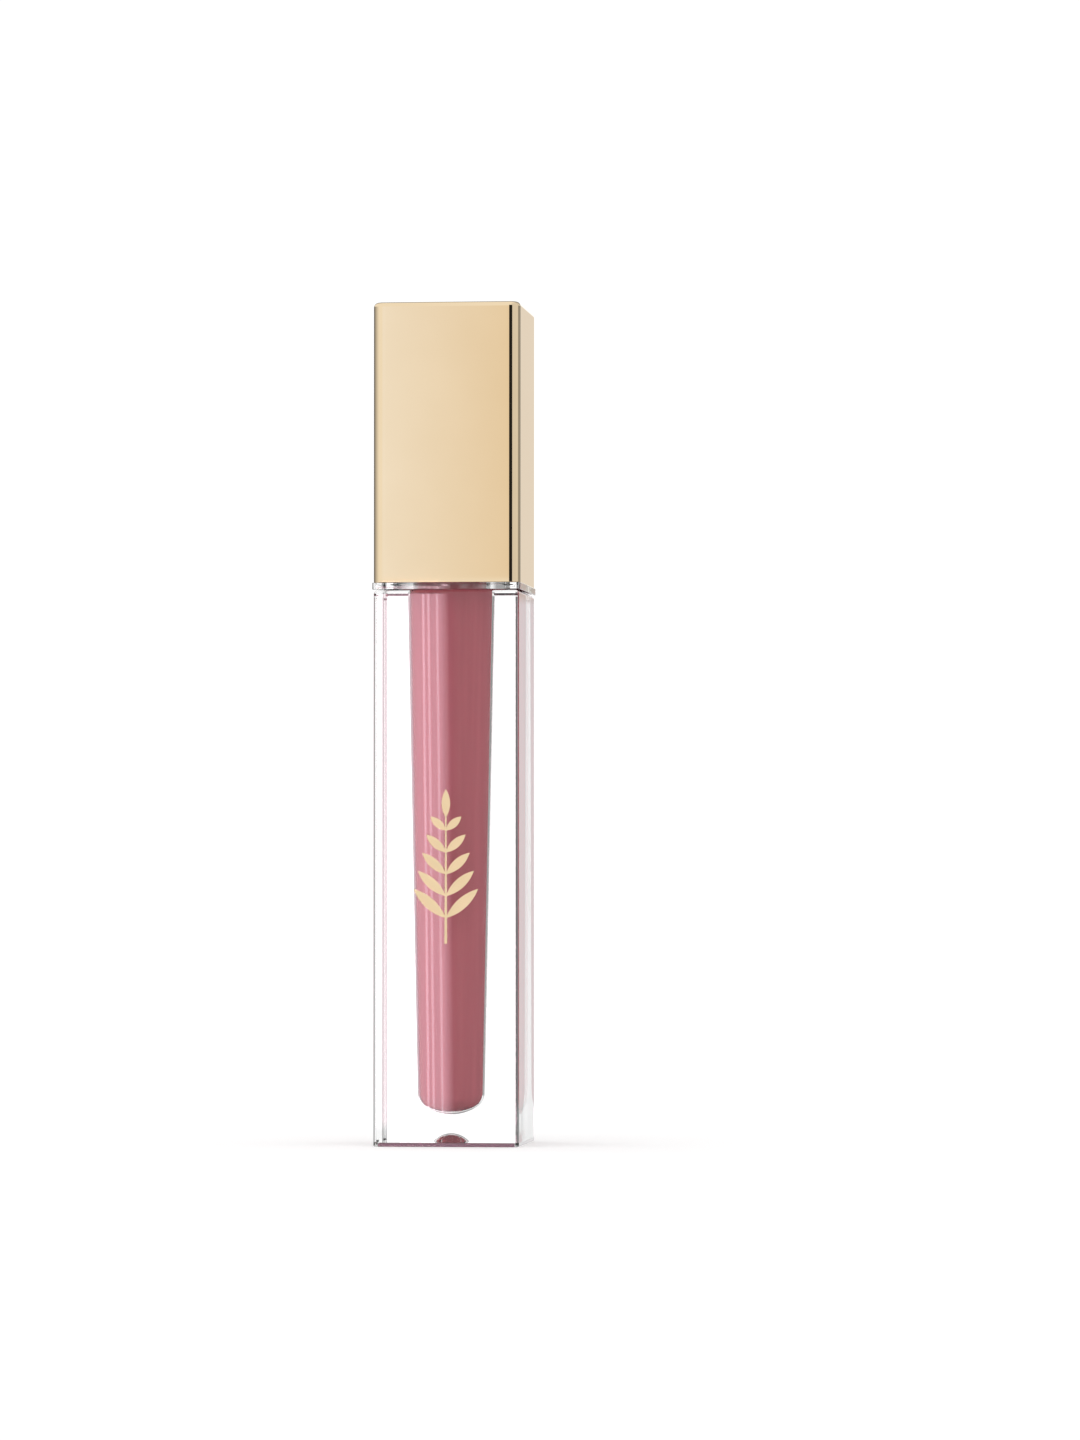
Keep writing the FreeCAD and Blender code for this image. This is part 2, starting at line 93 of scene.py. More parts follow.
BOTTLE_HALF = reach("bottle")
NECK_TOP = high("bottle")
FLANGE_LOW = low("inner_cap")
CAP_LOW = low("cap_shell")
CAP_TOP = high("cap_shell")
CAVITY_TOP_RADIUS = reach("gloss_fill")
CAVITY_FLOOR = low("gloss_fill")
GLOSS_TOP = high("gloss_fill")
SHOULDER = FLANGE_LOW - 0.1
print(f"bottle {2 * BOTTLE_HALF:.1f} square, shoulder {SHOULDER:.1f}, cap {CAP_LOW:.1f} to {CAP_TOP:.1f}")


# %% [markdown]
# ## One way to make nearly every piece: rings joined into a skin
# A bottle like this is a path turned round an axis, except that some stretches of the path are
# round and others are square with rounded corners. It could be carved with booleans, but those
# leave long thin faces that spoil the refraction in clear plastic. Here each step of the path
# makes one ring of points, every ring has the same count, and neighbouring rings are joined by
# four-sided faces. The path runs up the outside and down the inside, so all faces point outwards.

# %% Outline of one ring
FLAT_SHARES = (0.0, 0.2, 0.4, 0.6, 0.8, 0.97)
ARC_STEPS = 16
RING_COUNT = 4 * (2 * len(FLAT_SHARES) + ARC_STEPS)


def square_quadrant(half, corner):
    """A quarter of a rounded square, from the middle of the +X side to that of the +Y side."""
    straight = half - corner
    climb = [(half, straight * share) for share in FLAT_SHARES]
    turn = []
    for step in range(ARC_STEPS):
        angle = math.pi / 2 * step / ARC_STEPS
        turn.append((straight + corner * math.cos(angle), straight + corner * math.sin(angle)))
    back = [(straight, half)] + [(straight * share, half) for share in FLAT_SHARES[:0:-1]]
    return climb + turn + back


def outline(size, corner):
    """The (x, y) points of one ring: a circle where corner is None, else a rounded square."""
    if corner is None:
        turns = np.arange(RING_COUNT) / RING_COUNT * 2 * math.pi
        return np.stack([size * np.cos(turns), size * np.sin(turns)], axis=1)
    quarter = np.array(square_quadrant(size, max(corner, 0.01)))
    x, y = quarter[:, 0], quarter[:, 1]
    quarters = [(x, y), (-y, x), (-x, -y), (y, -x)]
    return np.concatenate([np.stack(pair, axis=1) for pair in quarters])


print("points in a ring:", RING_COUNT)


# %% [markdown]
# ### Soft edges
# No moulded edge is truly sharp, and a rounded one catches a thin line of light. A Bevel modifier
# could round the edges after modelling. Here the path itself is rounded before it is turned,
# because each corner then keeps exactly the radius that it is given, and the rings stay in order.

# %% Round the corners of a path
CORNER_STEPS = 6


def soften(path, rounds, steps=CORNER_STEPS):
    """Replace corners of a path by arcs. rounds maps the number of a point to its radius."""
    smooth = []
    for number, point in enumerate(path):
        if number not in rounds:
            smooth.append(point)
            continue
        here = Vector(point[:2])
        back = (Vector(path[number - 1][:2]) - here).normalized()
        ahead = (Vector(path[(number + 1) % len(path)][:2]) - here).normalized()
        half_angle = back.angle(ahead) / 2
        centre = here + (back + ahead).normalized() * (rounds[number] / math.sin(half_angle))
        run = rounds[number] / math.tan(half_angle)
        start = here + back * run - centre
        finish = here + ahead * run - centre
        sweep = start.angle_signed(finish)
        for step in range(steps + 1):
            turn = -sweep * step / steps
            spot = centre + Vector((start.x * math.cos(turn) - start.y * math.sin(turn),
                                    start.x * math.sin(turn) + start.y * math.cos(turn)))
            corner = None if point[2] is None else point[2] + spot.x - here.x
            smooth.append((spot.x, spot.y, corner))
    return smooth


print("points in an ordinary softened corner:", CORNER_STEPS + 1)


# %% [markdown]
# ### Smooth shading and plain meshes
# A curved wall should shade smoothly, and a flat wall should stay flat up to its rounded edge. The
# Weighted Normal modifier does this: the large flat faces decide how their corners shade. Its
# result is then baked, so that every finished piece is a plain mesh with no modifier on it.

# %% Finish and bake a piece
def finished(name, points, faces, sharp_angle=32):
    """A smooth-shaded piece whose flat faces stay truly flat."""
    mesh = bpy.data.meshes.new(name)
    mesh.from_pydata(points.tolist(), [], faces)
    mesh.validate()
    mesh.shade_smooth()
    mesh.set_sharp_from_angle(angle=math.radians(sharp_angle))
    piece = bpy.data.objects.new(name, mesh)
    bpy.context.scene.collection.objects.link(piece)
    weigh = piece.modifiers.new("flat faces lead", "WEIGHTED_NORMAL")
    weigh.keep_sharp = True
    return baked(piece)


def baked(piece):
    """Turn a piece with modifiers into a plain mesh with the same look."""
    bpy.context.view_layer.update()
    depsgraph = bpy.context.evaluated_depsgraph_get()
    plain = bpy.data.meshes.new_from_object(piece.evaluated_get(depsgraph))
    old = piece.data
    piece.modifiers.clear()
    piece.data = plain
    plain.name = piece.name
    if old.users == 0:
        bpy.data.meshes.remove(old)
    return piece


print("meshes that came with the frame:", len(bpy.data.meshes))


# %% Join rings into a skin
AXIS_NEARNESS = 1e-6


def skin(name, rings, closed=False, sharp_angle=32):
    """Join rings of points, in millimetres, into a piece. A single point closes an end."""
    points = []
    first = []
    for ring in rings:
        first.append(len(points))
        points.extend(ring)
    faces = []
    pairs = list(zip(range(len(rings)), range(1, len(rings))))
    if closed:
        pairs.append((len(rings) - 1, 0))
    for below, above in pairs:
        if len(rings[below]) == 1 and len(rings[above]) == 1:
            continue
        for k in range(RING_COUNT):
            k_next = (k + 1) % RING_COUNT
            face = [first[below] + k, first[below] + k_next, first[above] + k_next, first[above] + k]
            if len(rings[below]) == 1:
                face = [first[below], first[above] + k_next, first[above] + k]
            if len(rings[above]) == 1:
                face = [first[below] + k, first[below] + k_next, first[above]]
            faces.append(face)
    return finished(name, np.array(points) * MM, faces, sharp_angle)


def level(point):
    """One ring at a path point (size, height, corner), or a single point on the axis."""
    size, height, corner = point
    if size < AXIS_NEARNESS:
        return [(0.0, 0.0, height)]
    return [(x, y, height) for x, y in outline(size, corner)]


def levels(path):
    """The rings of a whole path."""
    return [level(point) for point in path]


def rounds_of(path):
    """The same path with every section round."""
    return [(size, height, None) for size, height in path]


print("faces in one band of a skin:", RING_COUNT)


# %% [markdown]
# ## Materials
# Every finish here is a small node network around a Principled shader. Even a plain-looking plastic
# has something to it: clear thick plastic has slow ripples from its mould, and metallised plastic
# has a faint orange peel. Noise read from Object coordinates gives both at a stated size, and it
# stays on the piece when the piece moves.

# %% Material helpers
def new_finish(name):
    """A material with its Principled shader, ready for its numbers."""
    finish = bpy.data.materials.new(name)
    finish.use_nodes = True
    shader = finish.node_tree.nodes["Principled BSDF"]
    return finish, shader


def noise(finish, size_mm, detail=2.0, stretch=(1, 1, 1)):
    """Noise whose blotches are about size_mm across, stretched along an axis if wanted."""
    nodes, links = finish.node_tree.nodes, finish.node_tree.links
    place = nodes.new("ShaderNodeTexCoord")
    scale = nodes.new("ShaderNodeMapping")
    scale.inputs["Scale"].default_value = [1 / (size_mm * MM * part) for part in stretch]
    blotch = nodes.new("ShaderNodeTexNoise")
    blotch.inputs["Scale"].default_value = 1.0
    blotch.inputs["Detail"].default_value = detail
    links.new(place.outputs["Object"], scale.inputs["Vector"])
    links.new(scale.outputs["Vector"], blotch.inputs["Vector"])
    return blotch.outputs["Fac"]


def ripple(finish, shader, source, height_mm):
    """Bump from a noise, height_mm tall."""
    bump = finish.node_tree.nodes.new("ShaderNodeBump")
    bump.inputs["Strength"].default_value = 1.0
    bump.inputs["Distance"].default_value = height_mm * MM
    finish.node_tree.links.new(source, bump.inputs["Height"])
    finish.node_tree.links.new(bump.outputs["Normal"], shader.inputs["Normal"])


def tint(finish, source, dark, light, socket):
    """Blend two colours by a noise and feed a colour socket."""
    ramp = finish.node_tree.nodes.new("ShaderNodeValToRGB")
    ramp.color_ramp.elements[0].position = 0.3
    ramp.color_ramp.elements[0].color = (*dark, 1)
    ramp.color_ramp.elements[1].position = 0.7
    ramp.color_ramp.elements[1].color = (*light, 1)
    finish.node_tree.links.new(source, ramp.inputs["Fac"])
    finish.node_tree.links.new(ramp.outputs["Color"], socket)


print("materials that came with the frame:", len(bpy.data.materials))


# %% [markdown]
# ### Clear plastic
# The bottle, the inner cap and the stem are the same sort of polished clear plastic. It bends
# light strongly, and that bending makes the white bands beside the gloss, so it is worth tracing
# real refraction instead of faking it with transparency. The ripples are tiny, because a thick
# polished block shows even a slight wave as a broken line.

# %% Clear finishes
PURE_CLEAR = (1.0, 1.0, 1.0)
FAINT_GREY = (0.985, 0.985, 0.985)


def clear_plastic(name, index, ripple_mm):
    """Polished clear plastic with slow mould ripples, drawn out upwards."""
    finish, shader = new_finish(name)
    shader.inputs["Roughness"].default_value = 0.0
    shader.inputs["IOR"].default_value = index
    shader.inputs["Transmission Weight"].default_value = 1.0
    tint(finish, noise(finish, 6.0), FAINT_GREY, PURE_CLEAR, shader.inputs["Base Color"])
    ripple(finish, shader, noise(finish, 3.0, 1.0, (1, 1, 6)), ripple_mm)
    return finish


BOTTLE_PLASTIC = clear_plastic("clear_bottle", 1.57, 0.00002)
CAP_PLASTIC = clear_plastic("clear_cap", 1.5, 0.001)
STEM_PLASTIC = clear_plastic("clear_stem", 1.5, 0.001)
print("clear finishes:", BOTTLE_PLASTIC.name, CAP_PLASTIC.name, STEM_PLASTIC.name)


# %% [markdown]
# ### Gold
# The shell is plastic with a metal film, pale champagne gold and very smooth. The foil on the front
# is pressed on to the plastic and scatters light more, so it is the same network with a rougher
# surface. A metal takes its colour from Base Color alone, and nearly all of its look is what it
# mirrors.

# %% Gold finishes
def spread(finish, source, least, most, socket):
    """Let a noise move a number between two limits."""
    span = finish.node_tree.nodes.new("ShaderNodeMapRange")
    span.inputs["To Min"].default_value = least
    span.inputs["To Max"].default_value = most
    finish.node_tree.links.new(source, span.inputs["Value"])
    finish.node_tree.links.new(span.outputs["Result"], socket)


def gold_finish(name, dark, light, rough):
    """Metallised film with a faint orange peel."""
    finish, shader = new_finish(name)
    shader.inputs["Metallic"].default_value = 1.0
    tint(finish, noise(finish, 9.0), dark, light, shader.inputs["Base Color"])
    spread(finish, noise(finish, 2.0), rough * 0.8, rough * 1.2, shader.inputs["Roughness"])
    ripple(finish, shader, noise(finish, 5.0, 1.0), 0.00015)
    return finish


SHELL_GOLD = gold_finish("gold_shell", (0.85, 0.68, 0.45), (0.87, 0.70, 0.47), 0.01)
FOIL_GOLD = gold_finish("gold_foil", (0.92, 0.75, 0.46), (0.95, 0.79, 0.50), 0.5)
print("gold finishes:", SHELL_GOLD.name, FOIL_GOLD.name)


# %% [markdown]
# ### The gloss
# The gloss is an opaque pink cream. Where it wets the clear wall no surface is left to shine, so
# it has hardly any shine of its own there. The wall bends light more than the cream does, so light
# that meets the cream at a grazing angle is mirrored whole, and that makes the pale bands beside the
# colour. A Principled shader alone can't do that, so a Fresnel node with an index below one mixes in
# a mirror. On the applicator the same cream lies in a thin film over dark fibres, in the open air,
# so that finish is darker and has no such mirror.

# %% Gloss finishes
def gloss_finish(name, dark, light):
    """Pink cream gloss with slow upright streaks of a slightly lighter pink, painted in as glints."""
    finish, shader = new_finish(name)
    shader.inputs["Roughness"].default_value = 0.25
    shader.inputs["Specular IOR Level"].default_value = 0.05
    # Painted glints: thin upright streaks of lighter pink laid into the cream's own colour.
    painted_glint_streaks = noise(finish, 0.8, 3.0, (1, 1, 40))
    tint(finish, painted_glint_streaks, dark, light, shader.inputs["Base Color"])
    return finish


def wetted(finish, index_ratio):
    """Mirror the wall at grazing angles, as a cream does behind a wall that bends light more."""
    nodes, links = finish.node_tree.nodes, finish.node_tree.links
    edge = nodes.new("ShaderNodeFresnel")
    edge.inputs["IOR"].default_value = index_ratio
    mirror = nodes.new("ShaderNodeBsdfGlossy")
    mirror.inputs["Color"].default_value = (1, 1, 1, 1)
    mirror.inputs["Roughness"].default_value = 0.0
    mix = nodes.new("ShaderNodeMixShader")
    links.new(edge.outputs["Fac"], mix.inputs["Fac"])
    links.new(nodes["Principled BSDF"].outputs["BSDF"], mix.inputs[1])
    links.new(mirror.outputs["BSDF"], mix.inputs[2])
    links.new(mix.outputs["Shader"], nodes["Material Output"].inputs["Surface"])
    return finish


CREAM_BEHIND_WALL = 0.935
GLOSS_PINK = wetted(gloss_finish("gloss", (0.69, 0.15, 0.19), (0.74, 0.17, 0.21)), CREAM_BEHIND_WALL)
GLOSS_FILM = gloss_finish("gloss_film", (0.48, 0.12, 0.15), (0.52, 0.14, 0.17))
print("gloss finishes:", GLOSS_PINK.name, GLOSS_FILM.name)


# %% [markdown]
# ### Plastic, foam and fibre
# The small parts are milky, foamy or coloured plastics. Two close colours, a slightly uneven
# roughness and a fine grain are enough for all of them, so one function makes the five finishes.

# %% Plain finishes
def plain_plastic(name, dark, light, rough, ripple_mm=0.003, grain_mm=0.3):
    """Moulded plastic, foam or film: two close colours and a fine grain."""
    finish, shader = new_finish(name)
    tint(finish, noise(finish, 2.5), dark, light, shader.inputs["Base Color"])
    spread(finish, noise(finish, 1.0), rough * 0.85, rough * 1.15, shader.inputs["Roughness"])
    ripple(finish, shader, noise(finish, grain_mm), ripple_mm)
    return finish


WIPER_MILK = plain_plastic("wiper_plastic", (0.80, 0.78, 0.76), (0.86, 0.85, 0.83), 0.4)
SEAL_FOAM = plain_plastic("seal_foam", (0.80, 0.79, 0.76), (0.88, 0.87, 0.85), 0.7, 0.02, 0.12)
LABEL_FILM = plain_plastic("label_film", (0.32, 0.07, 0.16), (0.37, 0.09, 0.20), 0.35)
CORE_PLASTIC = plain_plastic("core_plastic", (0.70, 0.45, 0.46), (0.78, 0.55, 0.56), 0.4)
FLOCK_FIBRE = plain_plastic("flock", (0.42, 0.13, 0.15), (0.55, 0.20, 0.22), 0.6, 0.01, 0.1)
print("materials now:", len(bpy.data.materials))


# %% [markdown]
# ### Putting a piece in the place of its CAD node
# Each finished piece takes one finish, rides on a body and stands for one CAD node, whose own
# mesh is hidden. One helper says all three, so that no piece is left half placed.

# %% Settle a piece
def settle(piece, finish, body, node):
    """Give a piece its finish and its place in the frame."""
    piece.data.materials.clear()
    piece.data.materials.append(finish)
    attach(piece, body)
    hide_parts(node)
    print(f"{piece.name}: {len(piece.data.polygons)} faces, rides on {body}")
    return piece


# %% [markdown]
# ## The screw thread's rule
# A thread is a ridge whose middle climbs evenly with the angle. As a rule: at an angle and a
# height, find how far the height is from the nearest turn of the ridge. Within half the crest
# width the ridge has its full height, and beyond that it slopes away. The same rule serves the
# neck, where it adds to the radius, and the cap, where it takes away. Its first and last
# twentieth of a turn fade in and out, as moulded threads do. The cap's ridge sits a millimetre
# lower than the neck's, so it hooks under it.

# %% Thread rule
THREAD_LEAD = 3.0
THREAD_TURNS = 1.5
THREAD_START = 73.6
CAP_RIDGE_DROP = 1.0
CREST_HEIGHT = 0.6
CREST_HALF = 0.35
FLANK_RUN = 0.2
FADE = 0.05
THREAD_RUNOUT = 1.2
THREAD_STEP = 0.12


def ridge(turn_share, height, start, full):
    """Ridge height at an angle, given as a share of a turn, and a height on the axis."""
    tallest = 0.0
    for lap in range(2):
        turns = turn_share + lap
        if turns > THREAD_TURNS:
            continue
        away = abs(height - start - THREAD_LEAD * turns)
        slope = (CREST_HALF + FLANK_RUN - away) / FLANK_RUN
        fade = min(1.0, turns / FADE, (THREAD_TURNS - turns) / FADE)
        tallest = max(tallest, full * min(1.0, max(0.0, slope)) * fade)
    return tallest


def threaded_levels(radius, heights, start, full):
    """Rings of a threaded wall. A negative full height makes the thread of a cap."""
    rings = []
    for height in heights:
        ring = []
        for k in range(RING_COUNT):
            share = k / RING_COUNT
            size = radius + math.copysign(ridge(share, height, start, abs(full)), full)
            angle = 2 * math.pi * share
            ring.append((size * math.cos(angle), size * math.sin(angle), height))
        rings.append(ring)
    return rings


print("the thread climbs mm:", THREAD_LEAD * THREAD_TURNS)


# %% [markdown]
# ## The bottle
# The bottle is one skin: it starts in the middle of the dimple under the base, runs out to the
# rim, up the square walls, in over the shoulder, up the threaded neck, and down the inside to the
# cavity's domed floor. Since light is bent at every wall, the inside matters as much as the outside.

# %% Cavity and dimple
CAVITY_LOW_RADIUS = 4.2
FLOOR_DOME_RADIUS = 6.5
FLOOR_KNUCKLE = 2.2
FLOOR_SHARES = (1.0, 0.72, 0.6, 0.48, 0.36, 0.24, 0.12, 0.0)


def cavity_path(extra=0.0):
    """The cavity's side and floor, from the shoulder down to the axis, grown by extra."""
    low_radius = CAVITY_LOW_RADIUS + extra
    bowl_centre = CAVITY_FLOOR - extra + FLOOR_DOME_RADIUS
    path = [(CAVITY_TOP_RADIUS + extra, SHOULDER)]
    for share in FLOOR_SHARES:
        size = low_radius * share
        path.append((size, bowl_centre - math.sqrt(FLOOR_DOME_RADIUS ** 2 - size ** 2)))
    return soften(rounds_of(path), {1: FLOOR_KNUCKLE}, 12)


def sphere_cap(rim_radius, depth, rim_height, steps=8):
    """Points of a hollow cap from its deepest point on the axis out to its rim."""
    ball = (rim_radius ** 2 + depth ** 2) / (2 * depth)
    middle = rim_height + depth - ball
    sizes = [rim_radius * step / steps for step in range(steps + 1)]
    return [(size, middle + math.sqrt(ball ** 2 - size ** 2)) for size in sizes]


print("rings in the cavity:", len(cavity_path()))

# %% Bottle
EDGE_ROUND = 0.45
BASE_EDGE_ROUND = 0.15
SHARP_CORNER = 0.12
RECESS_HALF = 8.7
RECESS_DEPTH = 0.52
DIMPLE_RADIUS = 2.28
DIMPLE_DEPTH = 1.0
NECK_RADIUS = 6.65
NECK_FILLET = 0.3
RIM_OUTER_ROUND = 0.2
RIM_INNER_ROUND = 0.15
outer = soften([
    (RECESS_HALF, RECESS_DEPTH, SHARP_CORNER),
    (RECESS_HALF, 0.0, SHARP_CORNER),
    (BOTTLE_HALF, 0.0, EDGE_ROUND),
    (BOTTLE_HALF, SHOULDER, EDGE_ROUND),
    (NECK_RADIUS + NECK_FILLET, SHOULDER, None),
], {2: BASE_EDGE_ROUND, 3: EDGE_ROUND}, 8)
neck_thread_top = THREAD_START + THREAD_LEAD * THREAD_TURNS
neck_heights = np.arange(THREAD_START - THREAD_RUNOUT, neck_thread_top + THREAD_RUNOUT, THREAD_STEP)
rim = soften([(NECK_RADIUS, NECK_TOP - 1, None), (NECK_RADIUS, NECK_TOP, None),
              (CAVITY_TOP_RADIUS, NECK_TOP, None), (CAVITY_TOP_RADIUS, NECK_TOP - 1, None)],
             {1: RIM_OUTER_ROUND, 2: RIM_INNER_ROUND}, 4)
bottle_rings = (levels(rounds_of(sphere_cap(DIMPLE_RADIUS, DIMPLE_DEPTH, RECESS_DEPTH)))
                + levels(outer)
                + levels(rounds_of([(NECK_RADIUS, SHOULDER + NECK_FILLET)]))
                + threaded_levels(NECK_RADIUS, neck_heights, THREAD_START, CREST_HEIGHT)
                + levels(rim)
                + levels(cavity_path()))
bottle = skin("bottle_glass", bottle_rings)
settle(bottle, BOTTLE_PLASTIC, "tube", "bottle")


# %% [markdown]
# ## The gloss
# The gloss wets the wall, so no air is left between them. Two surfaces in exactly the same place
# would flicker, and a gap would act as a mirror. So this skin is two hundredths of a millimetre
# larger than the cavity and sits that far inside the plastic. A channel down its middle is the
# room that the wand takes up.

# %% Gloss
WETTING = 0.02
CHANNEL_RADIUS = 3.05
CHANNEL_LOW = 5.4
gloss_path = cavity_path(WETTING)[::-1]
gloss_path += rounds_of([(CAVITY_TOP_RADIUS + WETTING, GLOSS_TOP), (CHANNEL_RADIUS, GLOSS_TOP),
                         (CHANNEL_RADIUS, CHANNEL_LOW), (0.0, CHANNEL_LOW)])
gloss = skin("gloss_cream", levels(gloss_path))
settle(gloss, GLOSS_PINK, "tube", "gloss_fill")


# %% [markdown]
# ## Turned pieces
# The wiper, the washer, the stem and the applicator's core are all round, so each is one path
# turned about the axis. The numbers in braces after a path say which of its points are softened,
# and by what radius.

# %% Wiper and washer
WIPER_MOUTH = 4.3
WIPER_ORIFICE = 2.6
WIPER_LIP = 0.6
WIPER_CONE = 4.2
WASHER_BORE = 2.65
wiper_low = low("wiper")
wiper_top = high("wiper")
wiper_flange = reach("wiper")
wiper_path = soften(rounds_of([
    (WIPER_ORIFICE, wiper_low),
    (CAVITY_TOP_RADIUS - 0.5, wiper_low),
    (CAVITY_TOP_RADIUS + WETTING, wiper_low + 1.0),
    (CAVITY_TOP_RADIUS + WETTING, NECK_TOP),
    (wiper_flange, NECK_TOP),
    (wiper_flange, wiper_top),
    (WIPER_MOUTH, wiper_top),
    (WIPER_MOUTH, wiper_low + WIPER_LIP + WIPER_CONE),
    (WIPER_ORIFICE, wiper_low + WIPER_LIP),
]), {1: 0.2, 2: 0.3, 4: 0.1, 5: 0.2, 6: 0.3, 7: 1.0, 8: 0.15}, 5)
wiper = skin("wiper_collar", levels(wiper_path), closed=True)
settle(wiper, WIPER_MILK, "tube", "wiper")

washer_path = soften(rounds_of([
    (WASHER_BORE, low("seal_washer")),
    (reach("seal_washer"), low("seal_washer")),
    (reach("seal_washer"), high("seal_washer")),
    (WASHER_BORE, high("seal_washer")),
]), {0: 0.08, 1: 0.12, 2: 0.12, 3: 0.08}, 4)
washer = skin("seal_liner", levels(washer_path), closed=True)
settle(washer, SEAL_FOAM, "seal", "seal_washer")

# %% Wand stem
STEM_RADIUS = 2.54
HEAD_RADIUS = 3.2
PLUG_RADIUS = 1.35
PLUG_TIP_RADIUS = 0.6
PLUG_TAPER = 1.0
PLUG_BORE_DEPTH = 10.4
SNAP_HEIGHT = 89.2
SNAP_HALF = 0.5
stem_low = low("wand_stem")
stem_top = high("wand_stem")
head_low = high("seal_washer")
stem_path = soften(rounds_of([
    (0.0, stem_low + PLUG_BORE_DEPTH),
    (PLUG_TIP_RADIUS, stem_low + PLUG_BORE_DEPTH),
    (PLUG_RADIUS, stem_low + PLUG_BORE_DEPTH - PLUG_TAPER),
    (PLUG_RADIUS, stem_low),
    (STEM_RADIUS, stem_low),
    (STEM_RADIUS, head_low),
    (HEAD_RADIUS, head_low),
    (HEAD_RADIUS, SNAP_HEIGHT - SNAP_HALF),
    (reach("wand_stem"), SNAP_HEIGHT),
    (HEAD_RADIUS, SNAP_HEIGHT + SNAP_HALF),
    (HEAD_RADIUS, stem_top),
    (0.0, stem_top),
]), {1: 0.3, 2: 0.4, 4: 0.25, 6: 0.1, 8: 0.2, 10: 0.4}, 5)
stem = skin("wand_rod", levels(stem_path))
settle(stem, STEM_PLASTIC, "wand", "wand_stem")

# %% Applicator core
ROOT_INSET = 0.05
core_low = low("applicator_core")
core_radius = reach("applicator_core")
core_path = soften(rounds_of([
    (0.0, core_low),
    (core_radius, core_low),
    (core_radius, stem_low),
    (PLUG_RADIUS, stem_low),
    (PLUG_RADIUS, high("applicator_core")),
    (0.0, high("applicator_core")),
]), {1: core_radius - ROOT_INSET, 2: 0.3, 4: 0.4}, 10)
core = skin("applicator_rod", levels(core_path))
settle(core, CORE_PLASTIC, "wand", "applicator_core")


# %% [markdown]
# ## Rules that grow a piece
# Where a shape repeats, Geometry Nodes can grow it from a rule. A rule has named inputs, so its
# sizes can be changed without touching the nodes. It ends by making its copies real and giving
# them their material. The helpers here build a rule in the script, run it once, and keep the
# result as a plain mesh.

# %% Helpers for rules
def rule(name, numbers):
    """An empty geometry rule with a geometry input, a material input and named numbers."""
    tree = bpy.data.node_groups.new(name, "GeometryNodeTree")
    tree.is_modifier = True
    tree.interface.new_socket("Geometry", in_out="INPUT", socket_type="NodeSocketGeometry")
    tree.interface.new_socket("Material", in_out="INPUT", socket_type="NodeSocketMaterial")
    for label, number in numbers.items():
        kind = "NodeSocketInt" if isinstance(number, int) else "NodeSocketFloat"
        tree.interface.new_socket(label, in_out="INPUT", socket_type=kind)
    tree.interface.new_socket("Geometry", in_out="OUTPUT", socket_type="NodeSocketGeometry")
    return tree, tree.nodes.new("NodeGroupInput"), tree.nodes.new("NodeGroupOutput")


def node(tree, kind, inputs=None, **settings):
    """Add a node. Each input is a plain value or another node's output."""
    made = tree.nodes.new(kind)
    for setting, value in settings.items():
        setattr(made, setting, value)
    for socket, value in (inputs or {}).items():
        if isinstance(value, bpy.types.NodeSocket):
            tree.links.new(value, made.inputs[socket])
        else:
            made.inputs[socket].default_value = value
    return made


def math_node(tree, operation, first, second=0.0):
    """One sum in a rule."""
    return node(tree, "ShaderNodeMath", {0: first, 1: second}, operation=operation).outputs[0]


def grow(name, base, tree, material, numbers):
    """Run a rule on a base mesh and keep the result as a plain mesh."""
    piece = bpy.data.objects.new(name, base)
    bpy.context.scene.collection.objects.link(piece)
    growth = piece.modifiers.new("rule", "NODES")
    growth.node_group = tree
    values = dict(numbers, Material=material)
    for socket in tree.interface.items_tree:
        if socket.in_out == "INPUT" and socket.name in values:
            growth[socket.identifier] = values[socket.name]
    return baked(piece)


def finish_rule(tree, source, geometry, outlet):
    """End a rule with real geometry that wears its material."""
    solid = node(tree, "GeometryNodeRealizeInstances", {"Geometry": geometry})
    worn = node(tree, "GeometryNodeSetMaterial",
                {"Geometry": solid.outputs["Geometry"], "Material": source.outputs["Material"]})
    tree.links.new(worn.outputs["Geometry"], outlet.inputs["Geometry"])


print("geometry rules before the first one:", len(bpy.data.node_groups))


# %% [markdown]
# ## The flocked applicator
# Flock is thousands of short fibres shot on to glue, so each one stands nearly upright on the
# core. A rule suits it: scatter points over the core with a fixed seed, plant one fibre on
# each, and tilt and shorten it a little by chance. Each fibre is a three-sided spike of four faces,
# because there are so many of them.

# %% Flock rule
ANY_TURN = 6.28
SIZE_SEED = 11
SHORTEST_SHARE = 0.62
FLOCK_NUMBERS = {
    "Fibres per m2": 62e6,
    "Length": 0.46 * MM,
    "Root radius": 0.035 * MM,
    "Tilt": 0.38,
    "Seed": 4,
}
flock_tree, source, outlet = rule("flock rule", FLOCK_NUMBERS)
scattered = node(flock_tree, "GeometryNodeDistributePointsOnFaces", {
    "Mesh": source.outputs["Geometry"],
    "Density": source.outputs["Fibres per m2"],
    "Seed": source.outputs["Seed"],
})
spike = node(flock_tree, "GeometryNodeMeshCone", {
    "Vertices": 3,
    "Radius Bottom": source.outputs["Root radius"],
    "Depth": source.outputs["Length"],
})
tilt_down = math_node(flock_tree, "MULTIPLY", source.outputs["Tilt"], -1.0)
low_tilt = node(flock_tree, "ShaderNodeCombineXYZ", {"X": tilt_down, "Y": tilt_down, "Z": 0.0})
high_tilt = node(flock_tree, "ShaderNodeCombineXYZ",
                 {"X": source.outputs["Tilt"], "Y": source.outputs["Tilt"], "Z": ANY_TURN})
chance_tilt = node(flock_tree, "FunctionNodeRandomValue", {
    "Min": low_tilt.outputs["Vector"],
    "Max": high_tilt.outputs["Vector"],
    "Seed": source.outputs["Seed"],
}, data_type="FLOAT_VECTOR")
lean = node(flock_tree, "FunctionNodeEulerToRotation", {"Euler": chance_tilt.outputs["Value"]})
